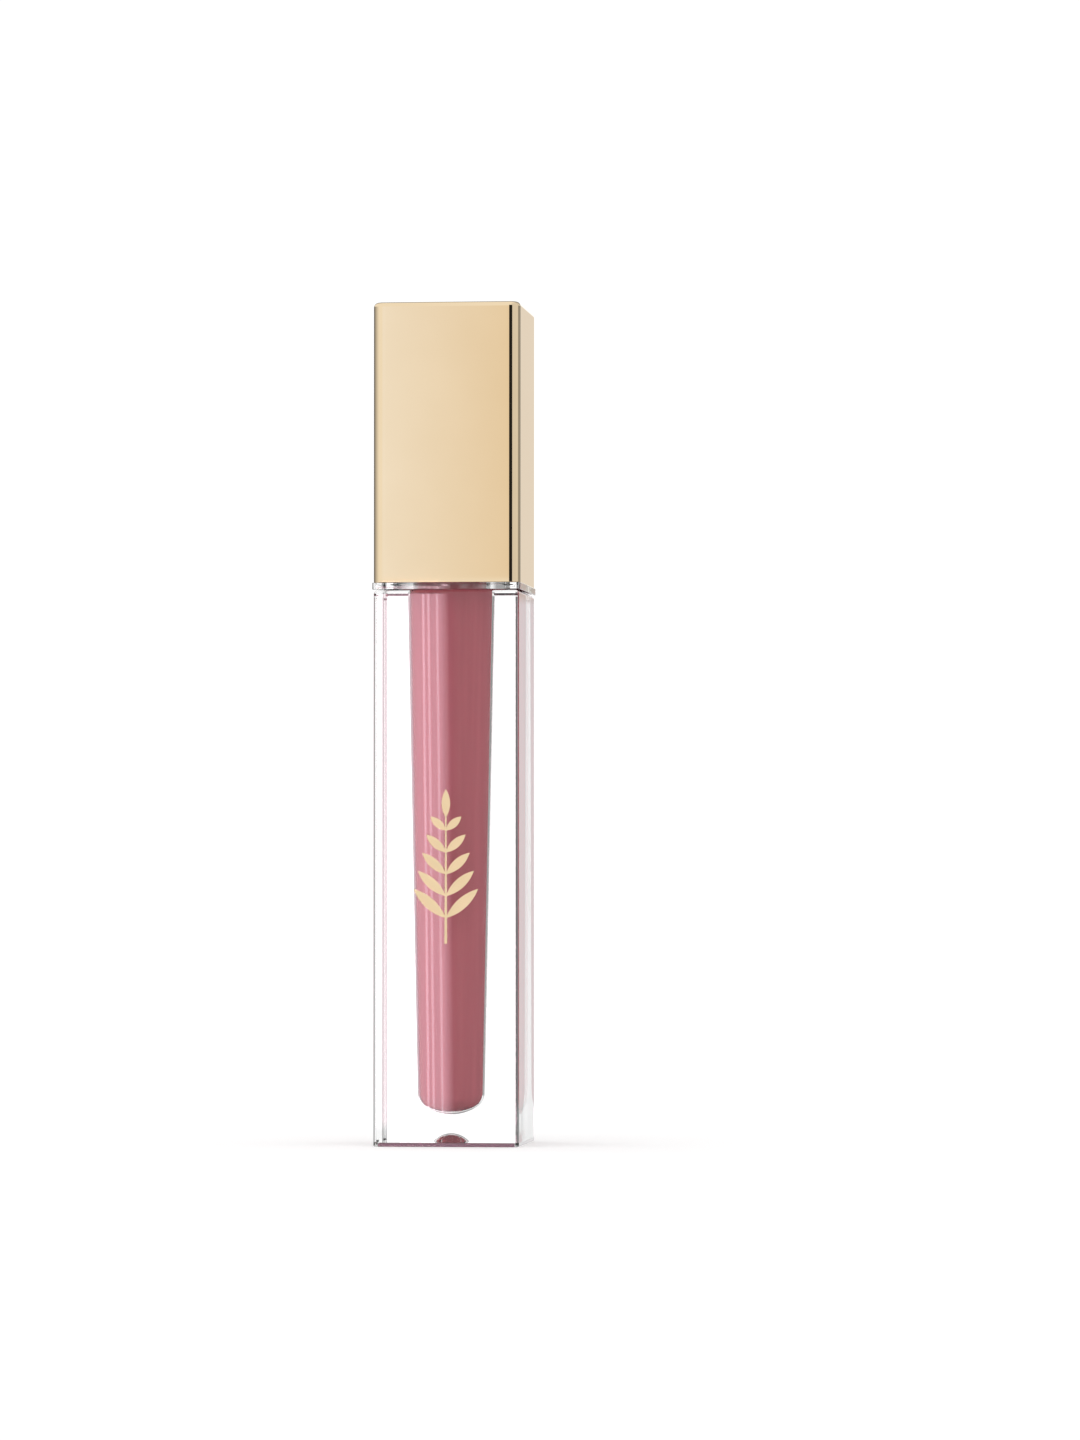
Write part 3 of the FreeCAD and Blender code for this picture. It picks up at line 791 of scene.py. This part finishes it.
turned = node(flock_tree, "FunctionNodeRotateRotation", {
    "Rotation": scattered.outputs["Rotation"],
    "Rotate By": lean.outputs["Rotation"],
}, rotation_space="LOCAL")
chance_size = node(flock_tree, "FunctionNodeRandomValue",
                   {2: SHORTEST_SHARE, 3: 1.0, "Seed": SIZE_SEED})
planted = node(flock_tree, "GeometryNodeInstanceOnPoints", {
    "Points": scattered.outputs["Points"],
    "Instance": spike.outputs["Mesh"],
    "Rotation": turned.outputs["Rotation"],
    "Scale": chance_size.outputs[1],
})
finish_rule(flock_tree, source, planted.outputs["Instances"], outlet)
print("nodes in the flock rule:", len(flock_tree.nodes))

# %% Plant the fibres
flock_top = high("applicator_flock")
root_radius = core_radius - ROOT_INSET
glue_path = soften(rounds_of([
    (0.0, core_low + ROOT_INSET),
    (root_radius, core_low + ROOT_INSET),
    (root_radius, flock_top - 0.1),
]), {1: root_radius - ROOT_INSET}, 10)
glue = skin("glue_surface", levels(glue_path))
flock = grow("applicator_fibres", glue.data, flock_tree, FLOCK_FIBRE, FLOCK_NUMBERS)
bpy.data.objects.remove(glue)
settle(flock, FLOCK_FIBRE, "wand", "applicator_flock")

# %% [markdown]
# ### Gloss left on the applicator
# Straight out of the tube an applicator carries a coat of gloss. It is smooth and thick on one side,
# thin on the other where the fibres show through, and gathers towards the tip. The coat is a
# ring skin whose radius swells with the angle and the height. It stands for no CAD node, so it
# only rides on the wand.

# %% Coat of gloss on the fibres
COAT_MEAN = 2.66
COAT_SWELL = 0.17
COAT_STEPS = 60
TIP_ROUND = 2.7
TOP_NARROWING = 0.12


def coat_radius(angle, share):
    """Radius of the coat: thickest at the front and low down, with slow waves."""
    front = max(0.0, -math.sin(angle)) ** 0.7
    long_wave = 0.05 * math.sin(7.3 * share + 1.7 * math.cos(angle))
    short_wave = 0.03 * math.sin(19 * share + 2 * angle)
    wave = long_wave + short_wave
    return COAT_MEAN + COAT_SWELL * front * (1.15 - 0.5 * share) + wave * (0.4 + 0.6 * front)


coat_low = low("applicator_flock") + 0.12
coat_top = flock_top - 0.4
coat_rings = [[(0.0, 0.0, coat_low)]]
for step in range(1, COAT_STEPS + 1):
    share = step / COAT_STEPS
    height = coat_low + (coat_top - coat_low) * share
    rise = min(1.0, (height - coat_low) / TIP_ROUND)
    bulge = math.sqrt(1 - (1 - rise) ** 2)
    bulge *= 1 - TOP_NARROWING * max(0.0, (share - 0.93) / 0.07) ** 2
    ring = []
    for k in range(RING_COUNT):
        angle = 2 * math.pi * k / RING_COUNT
        size = coat_radius(angle, share) * bulge
        ring.append((size * math.cos(angle), size * math.sin(angle), height))
    coat_rings.append(ring)
coat_rings.append([(0.0, 0.0, coat_top + 0.05)])
coat = skin("applicator_coat", coat_rings, sharp_angle=60)
coat.data.materials.append(GLOSS_FILM)
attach(coat, "wand")
print("coat faces:", len(coat.data.polygons))

# %% [markdown]
# ## The inner cap
# Under the gold shell sits a clear moulding: a square flange that shows as the clear
# line under the gold, a round skirt with the thread inside, a socket that grips the wand's head,
# and four fins that key it into the shell's corners. All but the fins is one closed skin. The fins
# are four plates with a rounded nose, made once and turned by a loop.

# %% Inner cap
FLANGE_HALF = reach("inner_cap")
FLANGE_CORNER = 0.5
RIM_ROUND = 0.06
SKIRT_RADIUS = 7.85
SKIRT_BORE = 7.45
SKIRT_TOP = 84.5
SOCKET_RADIUS = 4.6
SOCKET_BORE = HEAD_RADIUS + 0.1
SOCKET_BORE_TOP = 91.3
SNAP_GROOVE = 0.2
seat_height = high("seal_washer")
cap_outer = soften([
    (SKIRT_BORE, FLANGE_LOW, None),
    (FLANGE_HALF, FLANGE_LOW, FLANGE_CORNER),
    (FLANGE_HALF, CAP_LOW, FLANGE_CORNER),
    (SKIRT_RADIUS, CAP_LOW, None),
    (SKIRT_RADIUS, SKIRT_TOP, None),
    (SOCKET_RADIUS, SKIRT_TOP, None),
    (SOCKET_RADIUS, high("inner_cap"), None),
    (0.0, high("inner_cap"), None),
], {1: RIM_ROUND, 2: RIM_ROUND, 4: 0.4, 5: 0.3, 6: 0.3}, 5)
cap_inner = soften(rounds_of([
    (0.0, SOCKET_BORE_TOP),
    (SOCKET_BORE, SOCKET_BORE_TOP),
    (SOCKET_BORE, SNAP_HEIGHT + SNAP_HALF),
    (SOCKET_BORE + SNAP_GROOVE, SNAP_HEIGHT),
    (SOCKET_BORE, SNAP_HEIGHT - SNAP_HALF),
    (SOCKET_BORE, seat_height),
    (SKIRT_BORE, seat_height),
    (SKIRT_BORE, seat_height - 0.5),
]), {1: 0.2, 5: 0.1, 6: 0.15}, 4)
cap_thread_low = THREAD_START - CAP_RIDGE_DROP
cap_thread_top = cap_thread_low + THREAD_LEAD * THREAD_TURNS
cap_heights = np.arange(cap_thread_top + THREAD_RUNOUT, cap_thread_low - THREAD_RUNOUT, -THREAD_STEP)
cap_rings = (levels(cap_outer) + levels(cap_inner)
             + threaded_levels(SKIRT_BORE, cap_heights, cap_thread_low, -CREST_HEIGHT))
inner_cap = skin("cap_liner", cap_rings, closed=True)
settle(inner_cap, CAP_PLASTIC, "cap", "inner_cap")

# %% Fins of the inner cap
FIN_HALF = 0.6
FIN_REACH = 10.5
FIN_SEAT = 0.02
FIN_DROP = 0.3
NOSE_STEPS = 8


def fin_outline():
    """A fin seen from above: straight flanks with a rounded nose."""
    nose = []
    for step in range(NOSE_STEPS + 1):
        angle = math.pi * (step / NOSE_STEPS - 0.5)
        nose.append((FIN_REACH - FIN_HALF + FIN_HALF * math.cos(angle), FIN_HALF * math.sin(angle)))
    root = SKIRT_RADIUS - 0.1
    return [(root, -FIN_HALF)] + nose + [(root, FIN_HALF)]


fin_points = []
fin_faces = []
for quarter in range(4):
    angle = math.pi / 4 + quarter * math.pi / 2
    spots = [(x * math.cos(angle) - y * math.sin(angle), x * math.sin(angle) + y * math.cos(angle))
             for x, y in fin_outline()]
    count = len(spots)
    start = len(fin_points)
    fin_points += [(x, y, CAP_LOW + FIN_SEAT) for x, y in spots]
    fin_points += [(x, y, SKIRT_TOP - FIN_DROP) for x, y in spots]
    fin_faces.append([start + k for k in reversed(range(count))])
    fin_faces.append([start + count + k for k in range(count)])
    for k in range(count):
        k_next = (k + 1) % count
        fin_faces.append([start + k, start + k_next, start + count + k_next, start + count + k])
fins = finished("cap_fins", np.array(fin_points) * MM, fin_faces)
fins.data.materials.append(CAP_PLASTIC)
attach(fins, "cap")
print("fin faces:", len(fins.data.polygons))

# %% [markdown]
# ## The gold shell
# The shell is a deep square box with rounded corners. It is a hair wider at the closed end, which
# comes from the frame. Its sides are polished metal film, so a slight wave in the shading would
# show. One extra ring inside the top's rounded edge keeps the top face flat to the eye.

# %% Gold shell
SHELL_CORNER = 1.4
TOP_ROUND = 0.6
SHELL_INNER_HALF = 8.0
SHELL_INNER_CORNER = 0.5
SHELL_TOP_WALL = 1.2
SHELL_LOW_HALF = 9.3
SEAT_GAP = 0.02
top_ring_inset = TOP_ROUND + 0.1
shell_top_half = reach("cap_shell")
shell_path = soften([
    (SHELL_INNER_HALF, CAP_LOW + SEAT_GAP, SHELL_INNER_CORNER),
    (SHELL_LOW_HALF, CAP_LOW + SEAT_GAP, SHELL_CORNER),
    (shell_top_half, CAP_TOP, SHELL_CORNER),
    (shell_top_half - top_ring_inset, CAP_TOP, SHELL_CORNER - top_ring_inset),
    (0.0, CAP_TOP, None),
    (0.0, CAP_TOP - SHELL_TOP_WALL, None),
    (SHELL_INNER_HALF, CAP_TOP - SHELL_TOP_WALL, SHELL_INNER_CORNER),
], {1: RIM_ROUND, 2: TOP_ROUND}, 8)
shell = skin("cap_cover", levels(shell_path), closed=True)
settle(shell, SHELL_GOLD, "cap", "cap_shell")

# %% [markdown]
# ## The shade plate under the base
# A square plate in the colour of the shade is pressed into the recess under the base. An air gap
# is left over it, and it stands a hair clear of the recess walls, so that no two faces share a place.

# %% Base label
LABEL_GAP = 0.03
LABEL_CORNER = 0.3
LABEL_EDGE_ROUND = 0.03
label_low = low("shade_label")
label_high = high("shade_label")
label_half = reach("shade_label") - LABEL_GAP
label_path = soften([
    (0.0, label_low, None),
    (label_half, label_low, LABEL_CORNER),
    (label_half, label_high, LABEL_CORNER),
    (0.0, label_high, None),
], {1: LABEL_EDGE_ROUND, 2: LABEL_EDGE_ROUND}, 2)
label = skin("base_label", levels(label_path))
settle(label, LABEL_FILM, "tube", "shade_label")

# %% [markdown]
# ## The foil sprig
# The front carries a hot-stamped foil ornament: a plain sprig of paired leaves. Its shape is a
# rule. One leaf is drawn once, and copied in pairs up the stalk, each pair a little smaller
# than the one below. The flat outlines are drawn lying down, thickened, and stood up at the end.

# %% Sizes of the sprig
LAYER_STEP = 0.002 * MM
SPRIG_NUMBERS = {
    "Pairs": 5,
    "Stalk length": 16.2 * MM,
    "Stalk half width": 0.17 * MM,
    "First leaf": 3.2 * MM,
    "Leaf pitch": 2.75 * MM,
    "Leaf length": 5.5 * MM,
    "Leaf belly": 0.68 * MM,
    "Shrink": 0.13,
    "Lean": math.radians(48),
    "Crown length": 3.6 * MM,
    "Foil": 0.05 * MM,
}
sprig_tree, source, outlet = rule("sprig rule", SPRIG_NUMBERS)
print("named inputs of the sprig rule:", len(SPRIG_NUMBERS))

# %% One leaf, a unit grid bent to a point at both ends
place = node(sprig_tree, "ShaderNodeSeparateXYZ",
             {"Vector": node(sprig_tree, "GeometryNodeInputPosition").outputs["Position"]})
across = place.outputs["X"]
along = math_node(sprig_tree, "ADD", place.outputs["Y"], 0.5)
rest_of = math_node(sprig_tree, "SUBTRACT", 1.0, along)
swell = math_node(sprig_tree, "MULTIPLY", math_node(sprig_tree, "MULTIPLY", along, rest_of), 8.0)
leaf_x = math_node(sprig_tree, "MULTIPLY", across, swell)
leaf_spot = node(sprig_tree, "ShaderNodeCombineXYZ", {"X": leaf_x, "Y": along, "Z": 0.0})
leaf_grid = node(sprig_tree, "GeometryNodeMeshGrid",
                 {"Size X": 1.0, "Size Y": 1.0, "Vertices X": 5, "Vertices Y": 19})
leaf_bent = node(sprig_tree, "GeometryNodeSetPosition",
                 {"Geometry": leaf_grid.outputs["Mesh"], "Position": leaf_spot.outputs["Vector"]})
leaf = node(sprig_tree, "GeometryNodeMergeByDistance",
            {"Geometry": leaf_bent.outputs["Geometry"], "Distance": 0.0001}).outputs["Geometry"]
print("nodes for one leaf:", len(sprig_tree.nodes))

# %% Pairs of leaves up the stalk
roots_start = node(sprig_tree, "ShaderNodeCombineXYZ", {"Y": source.outputs["First leaf"]})
roots_step = node(sprig_tree, "ShaderNodeCombineXYZ", {"Y": source.outputs["Leaf pitch"]})
roots = node(sprig_tree, "GeometryNodeMeshLine", {
    "Count": source.outputs["Pairs"],
    "Start Location": roots_start.outputs["Vector"],
    "Offset": roots_step.outputs["Vector"],
})
number = node(sprig_tree, "GeometryNodeInputIndex").outputs["Index"]
loss = math_node(sprig_tree, "MULTIPLY", number, source.outputs["Shrink"])
length_share = math_node(sprig_tree, "SUBTRACT", 1.0, loss)
belly_share = math_node(sprig_tree, "SUBTRACT", 1.0, math_node(sprig_tree, "MULTIPLY", loss, 0.5))
leaf_scale = node(sprig_tree, "ShaderNodeCombineXYZ", {
    "X": math_node(sprig_tree, "MULTIPLY", belly_share, source.outputs["Leaf belly"]),
    "Y": math_node(sprig_tree, "MULTIPLY", length_share, source.outputs["Leaf length"]),
    "Z": 1.0,
})
parts = []
for side in (1.0, -1.0):
    lean_turn = math_node(sprig_tree, "MULTIPLY", source.outputs["Lean"], side)
    lean_euler = node(sprig_tree, "ShaderNodeCombineXYZ", {"Z": lean_turn})
    row = node(sprig_tree, "GeometryNodeInstanceOnPoints", {
        "Points": roots.outputs["Mesh"],
        "Instance": leaf,
        "Rotation": lean_euler.outputs["Vector"],
        "Scale": leaf_scale.outputs["Vector"],
    })
    shift = node(sprig_tree, "GeometryNodeTransform", {
        "Geometry": row.outputs["Instances"],
        "Translation": (0.0, 0.0, side * LAYER_STEP),
    })
    parts.append(shift.outputs["Geometry"])
print("rows of leaves:", len(parts))

# %% Crown leaf and stalk
crown_root = math_node(sprig_tree, "SUBTRACT", source.outputs["Stalk length"], 0.4 * MM)
crown_place = node(sprig_tree, "ShaderNodeCombineXYZ", {"Y": crown_root, "Z": 2 * LAYER_STEP})
crown_scale = node(sprig_tree, "ShaderNodeCombineXYZ", {
    "X": math_node(sprig_tree, "MULTIPLY", source.outputs["Leaf belly"], 0.8),
    "Y": source.outputs["Crown length"],
    "Z": 1.0,
})
crown = node(sprig_tree, "GeometryNodeTransform", {
    "Geometry": leaf,
    "Translation": crown_place.outputs["Vector"],
    "Scale": crown_scale.outputs["Vector"],
})
parts.append(crown.outputs["Geometry"])

narrowing = math_node(sprig_tree, "SUBTRACT", 2.0, along)
stalk_x = math_node(sprig_tree, "MULTIPLY", across, narrowing)
stalk_spot = node(sprig_tree, "ShaderNodeCombineXYZ", {
    "X": math_node(sprig_tree, "MULTIPLY", stalk_x, source.outputs["Stalk half width"]),
    "Y": math_node(sprig_tree, "MULTIPLY", along, source.outputs["Stalk length"]),
})
stalk_grid = node(sprig_tree, "GeometryNodeMeshGrid",
                  {"Size X": 1.0, "Size Y": 1.0, "Vertices X": 3, "Vertices Y": 13})
stalk = node(sprig_tree, "GeometryNodeSetPosition",
             {"Geometry": stalk_grid.outputs["Mesh"], "Position": stalk_spot.outputs["Vector"]})
parts.append(stalk.outputs["Geometry"])
print("flat parts of the sprig:", len(parts))

# %% Thicken the sprig and stand it up
FOIL_LIFT = 0.01 * MM
joined = node(sprig_tree, "GeometryNodeJoinGeometry")
for part in parts:
    sprig_tree.links.new(part, joined.inputs["Geometry"])
flat = node(sprig_tree, "GeometryNodeRealizeInstances", {"Geometry": joined.outputs["Geometry"]})
flat = flat.outputs["Geometry"]
raised = node(sprig_tree, "GeometryNodeExtrudeMesh", {
    "Mesh": flat,
    "Offset Scale": source.outputs["Foil"],
    "Individual": False,
})
underside = node(sprig_tree, "GeometryNodeFlipFaces", {"Mesh": flat})
plate = node(sprig_tree, "GeometryNodeJoinGeometry")
sprig_tree.links.new(raised.outputs["Mesh"], plate.inputs["Geometry"])
sprig_tree.links.new(underside.outputs["Mesh"], plate.inputs["Geometry"])
sealed = node(sprig_tree, "GeometryNodeMergeByDistance",
              {"Geometry": plate.outputs["Geometry"], "Distance": 0.0001 * MM})
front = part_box("foil_sprig")
upright = node(sprig_tree, "GeometryNodeTransform", {
    "Geometry": sealed.outputs["Geometry"],
    "Translation": (0.0, front[1].y + FOIL_LIFT, front[0].z),
    "Rotation": (math.pi / 2, 0.0, 0.0),
})
finish_rule(sprig_tree, source, upright.outputs["Geometry"], outlet)
seed_mesh = bpy.data.meshes.new("sprig_seed")
sprig = grow("foil_leaves", seed_mesh, sprig_tree, FOIL_GOLD, SPRIG_NUMBERS)
settle(sprig, FOIL_GOLD, "tube", "foil_sprig")
sprig_span = [round(axis / MM, 2) for axis in sprig.dimensions]
print("sprig width, depth, height mm:", sprig_span)

# %% [markdown]
# ## Floor and light
# A studio for clear things is mostly white. The floor is one wide pale disc that takes a soft
# shadow. It is hidden from mirrors and from light that has passed through the plastic, so that the
# base looks clear and bright, as on a lit table.

# %% Floor
FLOOR_SPOKES = 64
FLOOR_RADIUS = 3.0
floor_points = []
for spoke in range(FLOOR_SPOKES):
    angle = 2 * math.pi * spoke / FLOOR_SPOKES
    floor_points.append((FLOOR_RADIUS * math.cos(angle), FLOOR_RADIUS * math.sin(angle), 0.0))
floor_mesh = bpy.data.meshes.new("floor")
floor_mesh.from_pydata(floor_points, [], [list(range(FLOOR_SPOKES))])
floor = bpy.data.objects.new("floor", floor_mesh)
bpy.context.scene.collection.objects.link(floor)
floor_finish, floor_shader = new_finish("floor_white")
floor_shader.inputs["Base Color"].default_value = (0.9, 0.9, 0.9, 1)
floor_shader.inputs["Roughness"].default_value = 0.9
floor_shader.inputs["Emission Color"].default_value = (1, 1, 1, 1)
floor_shader.inputs["Emission Strength"].default_value = 0.32
floor.data.materials.append(floor_finish)
floor.visible_glossy = False
floor.visible_transmission = False
floor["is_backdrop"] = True
print("floor radius in metres:", FLOOR_RADIUS)

# %% [markdown]
# ### Light painted by direction
# Lamps could light the tube, but a mirror-like cap and a clear block mostly show what stands round
# them. So the light is the sky itself, and each panel of the studio is a patch of it, given by its
# turn from the front, to the right, and its climb from the horizon, both in degrees. The soft
# widths say how gently each edge fades. A new panel lies over the ones before it.

# %% Helpers for the light
sky = bpy.data.worlds.new("studio")
bpy.context.scene.world = sky
sky.use_nodes = True
sky_tree = sky.node_tree
ray = node(sky_tree, "ShaderNodeTexCoord").outputs["Generated"]
ray_parts = node(sky_tree, "ShaderNodeSeparateXYZ", {"Vector": ray})
away = math_node(sky_tree, "MULTIPLY", ray_parts.outputs["Y"], -1.0)
azimuth = math_node(sky_tree, "ARCTAN2", ray_parts.outputs["X"], away)
elevation = math_node(sky_tree, "ARCSINE", ray_parts.outputs["Z"])


def ramp_up(angle, start, soft):
    """0 before start, 1 a soft width after it, both in degrees."""
    span = node(sky_tree, "ShaderNodeMapRange", {
        "Value": angle,
        "From Min": math.radians(start - soft / 2),
        "From Max": math.radians(start + soft / 2),
    })
    return span.outputs["Result"]


def window(angle, start, stop, soft_start, soft_stop):
    """1 between two angles in degrees, 0 outside them."""
    return math_node(sky_tree, "SUBTRACT", ramp_up(angle, start, soft_start),
                     ramp_up(angle, stop, soft_stop))


def patch(around, turn, climb, soft_turn, soft_climb):
    """1 inside a patch of sky, fading to 0 over its soft edges."""
    return math_node(sky_tree, "MULTIPLY",
                     window(around, turn[0], turn[1], soft_turn[0], soft_turn[1]),
                     window(elevation, climb[0], climb[1], soft_climb[0], soft_climb[1]))


def panel(strength, light, turn, climb, soft_turn, soft_climb, around=azimuth):
    """Lay a panel of a given strength over the light so far."""
    return node(sky_tree, "ShaderNodeMix", {
        0: patch(around, turn, climb, soft_turn, soft_climb),
        2: light,
        3: strength,
    }, data_type="FLOAT").outputs[0]


print("nodes for the directions of the sky:", len(sky_tree.nodes))

# %% Panels round the studio
ROOM_LIGHT = 1.0
STUDIO_PANELS = {
    "right wall": (0.80, (33, 90), (-60, 60), (8, 10), (20, 20)),
    "back wall on the right": (0.75, (95, 160), (-80, 60), (10, 10), (20, 20)),
    "grey card that outlines the right edge": (0.35, (105, 167), (-9, 9), (14, 6), (5, 5)),
    "dark card that outlines the left edge": (0.15, (-170, -97), (-9, 12), (6, 80), (5, 6)),
    "lit wall straight behind, right half": (1.15, (176, 181), (-9, 9), (2, 1), (4, 4)),
    "lit wall straight behind, left half": (1.15, (-181, -171), (-9, 9), (1, 2), (4, 4)),
    "dim ceiling behind, right half": (0.3, (145, 181), (14, 60), (20, 1), (6, 20)),
    "dim ceiling behind, left half": (0.3, (-181, -145), (14, 60), (1, 20), (6, 20)),
    "black gap that lines the gold corner": (0.02, (1.6, 34), (-12, 22), (1.0, 2), (4, 4)),
}
light = ROOM_LIGHT
for strength, turn, climb, soft_turn, soft_climb in STUDIO_PANELS.values():
    light = panel(strength, light, turn, climb, soft_turn, soft_climb)
print("panels:", ", ".join(STUDIO_PANELS))

# %% [markdown]
# ### The bright strip
# One tall bright panel at the left is mirrored by the flat front of the bottle as its highlight.
# It stops just below the direction that the gold mirrors, leans a little, and has three thin and
# brighter streaks near its right edge, which give the highlight its fine lines.

# %% The bright strip
STRIP_STRENGTH = 5.3
STRIP_TURN = (-25, -6.97)
STRIP_CLIMB = (-2.3, 2.79)
STRIP_SIDES = (3, 0.09)
STRIP_ENDS = (0.1, 0.02)
STRIP_LEAN = 0.0112
STREAK_HALF = 0.01
STREAKS = {-7.17: 9.5, -7.12: 9.0, -7.038: 8.5}
leaning = math_node(sky_tree, "ADD", azimuth, math_node(sky_tree, "MULTIPLY", elevation, STRIP_LEAN))
light = panel(STRIP_STRENGTH, light, STRIP_TURN, STRIP_CLIMB, STRIP_SIDES, STRIP_ENDS, leaning)
for middle, strength in STREAKS.items():
    streak_turn = (middle - STREAK_HALF, middle + STREAK_HALF)
    streak_sides = (STREAK_HALF, STREAK_HALF)
    light = panel(strength, light, streak_turn, STRIP_CLIMB, streak_sides, STRIP_ENDS, leaning)
print("streaks in the strip:", len(STREAKS))

# %% [markdown]
# ### The colour of the light
# Studio light is never quite one colour. Where the gold mirrors the front it is cooler on the left
# and warmer on the right, the strip has a rose tint that suits the gloss, and a warm patch behind
# shows in the gold's right-hand side. The same patches as before, now of colour, do this.

# %% The colour of the light
WHITE = (1, 1, 1, 1)
COOL = (1.01, 1.04, 1.12, 1)
WARM = (0.91, 0.84, 0.74, 1)
ROSE = (1.2, 0.82, 0.93, 1)
HONEY = (0.82, 0.75, 0.655, 1)


def colour_panel(colour, hue, turn, climb, soft_turn, soft_climb):
    """Lay a patch of coloured light over the colours so far."""
    return node(sky_tree, "ShaderNodeMix", {
        0: patch(azimuth, turn, climb, soft_turn, soft_climb),
        6: hue,
        7: colour,
    }, data_type="RGBA").outputs[2]


cool_to_warm = node(sky_tree, "ShaderNodeMix", {
    0: ramp_up(azimuth, -6.98, 1.35),
    6: COOL,
    7: WARM,
}, data_type="RGBA").outputs[2]
hue = colour_panel(cool_to_warm, WHITE, (-20, 12), (2.85, 9), (6, 6), (0.05, 3))
hue = colour_panel(ROSE, hue, (-25, -6.9), STRIP_CLIMB, STRIP_SIDES, STRIP_ENDS)
hue = colour_panel(HONEY, hue, (170, 175.5), (2.7, 9), (2, 1), (0.1, 3))
print("nodes in the sky:", len(sky_tree.nodes))

# %% [markdown]
# ### A plain backdrop
# The panels should be seen only in the tube, not beside it. So light that comes straight to the
# camera is plain white, and all the rest is the painted sky.

# %% Backdrop
BACKDROP_STRENGTH = 1.06
glow = node(sky_tree, "ShaderNodeBackground", {"Color": hue, "Strength": light})
backdrop = node(sky_tree, "ShaderNodeBackground", {"Color": WHITE, "Strength": BACKDROP_STRENGTH})
seen = node(sky_tree, "ShaderNodeLightPath").outputs["Is Camera Ray"]
both = node(sky_tree, "ShaderNodeMixShader",
            {0: seen, 1: glow.outputs[0], 2: backdrop.outputs[0]})
sky_tree.links.new(both.outputs[0], sky_tree.nodes["World Output"].inputs["Surface"])
print("backdrop strength:", BACKDROP_STRENGTH)

# %% [markdown]
# ## Camera
# The camera is a long lens far away, a third of the way up the tube, and turned seven degrees to the
# right of the front. A long lens keeps the sides of the tube nearly parallel. The Standard view
# keeps the white of the studio white.

# %% Camera
VIEW_TURN = math.radians(6.9)
DISTANCE = 767.3 * MM
CAMERA_HEIGHT = 33 * MM
AIM_RIGHT = 10.85 * MM
AIM_HEIGHT = 53.84 * MM
right = Vector((math.cos(VIEW_TURN), math.sin(VIEW_TURN), 0))
toward = Vector((math.sin(VIEW_TURN), -math.cos(VIEW_TURN), 0))
lens = bpy.data.cameras.new("camera")
lens.lens = 150.9
lens.sensor_width = 36
lens.clip_start = 0.01
lens.clip_end = 20
camera = bpy.data.objects.new("camera", lens)
camera.location = toward * DISTANCE + Vector((0, 0, CAMERA_HEIGHT))
aim = right * AIM_RIGHT + Vector((0, 0, AIM_HEIGHT))
camera.rotation_mode = "QUATERNION"
camera.rotation_quaternion = (aim - camera.location).to_track_quat("-Z", "Y")
bpy.context.scene.collection.objects.link(camera)
bpy.context.scene.camera = camera
bpy.context.scene.view_settings.view_transform = "Standard"
print("camera distance mm:", round(DISTANCE / MM, 1), "lens mm:", round(lens.lens, 1))

# %% [markdown]
# ## Size of the finished object
# The finished pieces should fill the same box as the CAD model. Both boxes are measured and kept,
# so that they can be compared.

# %% Measure the two boxes
SHOWN_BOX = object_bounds()
sizes = {
    "cad": [list(corner) for corner in CAD_BOX],
    "visual": [list(corner) for corner in SHOWN_BOX],
}
for name, corners in sizes.items():
    print(name, [[round(value / MM, 3) for value in corner] for corner in corners])
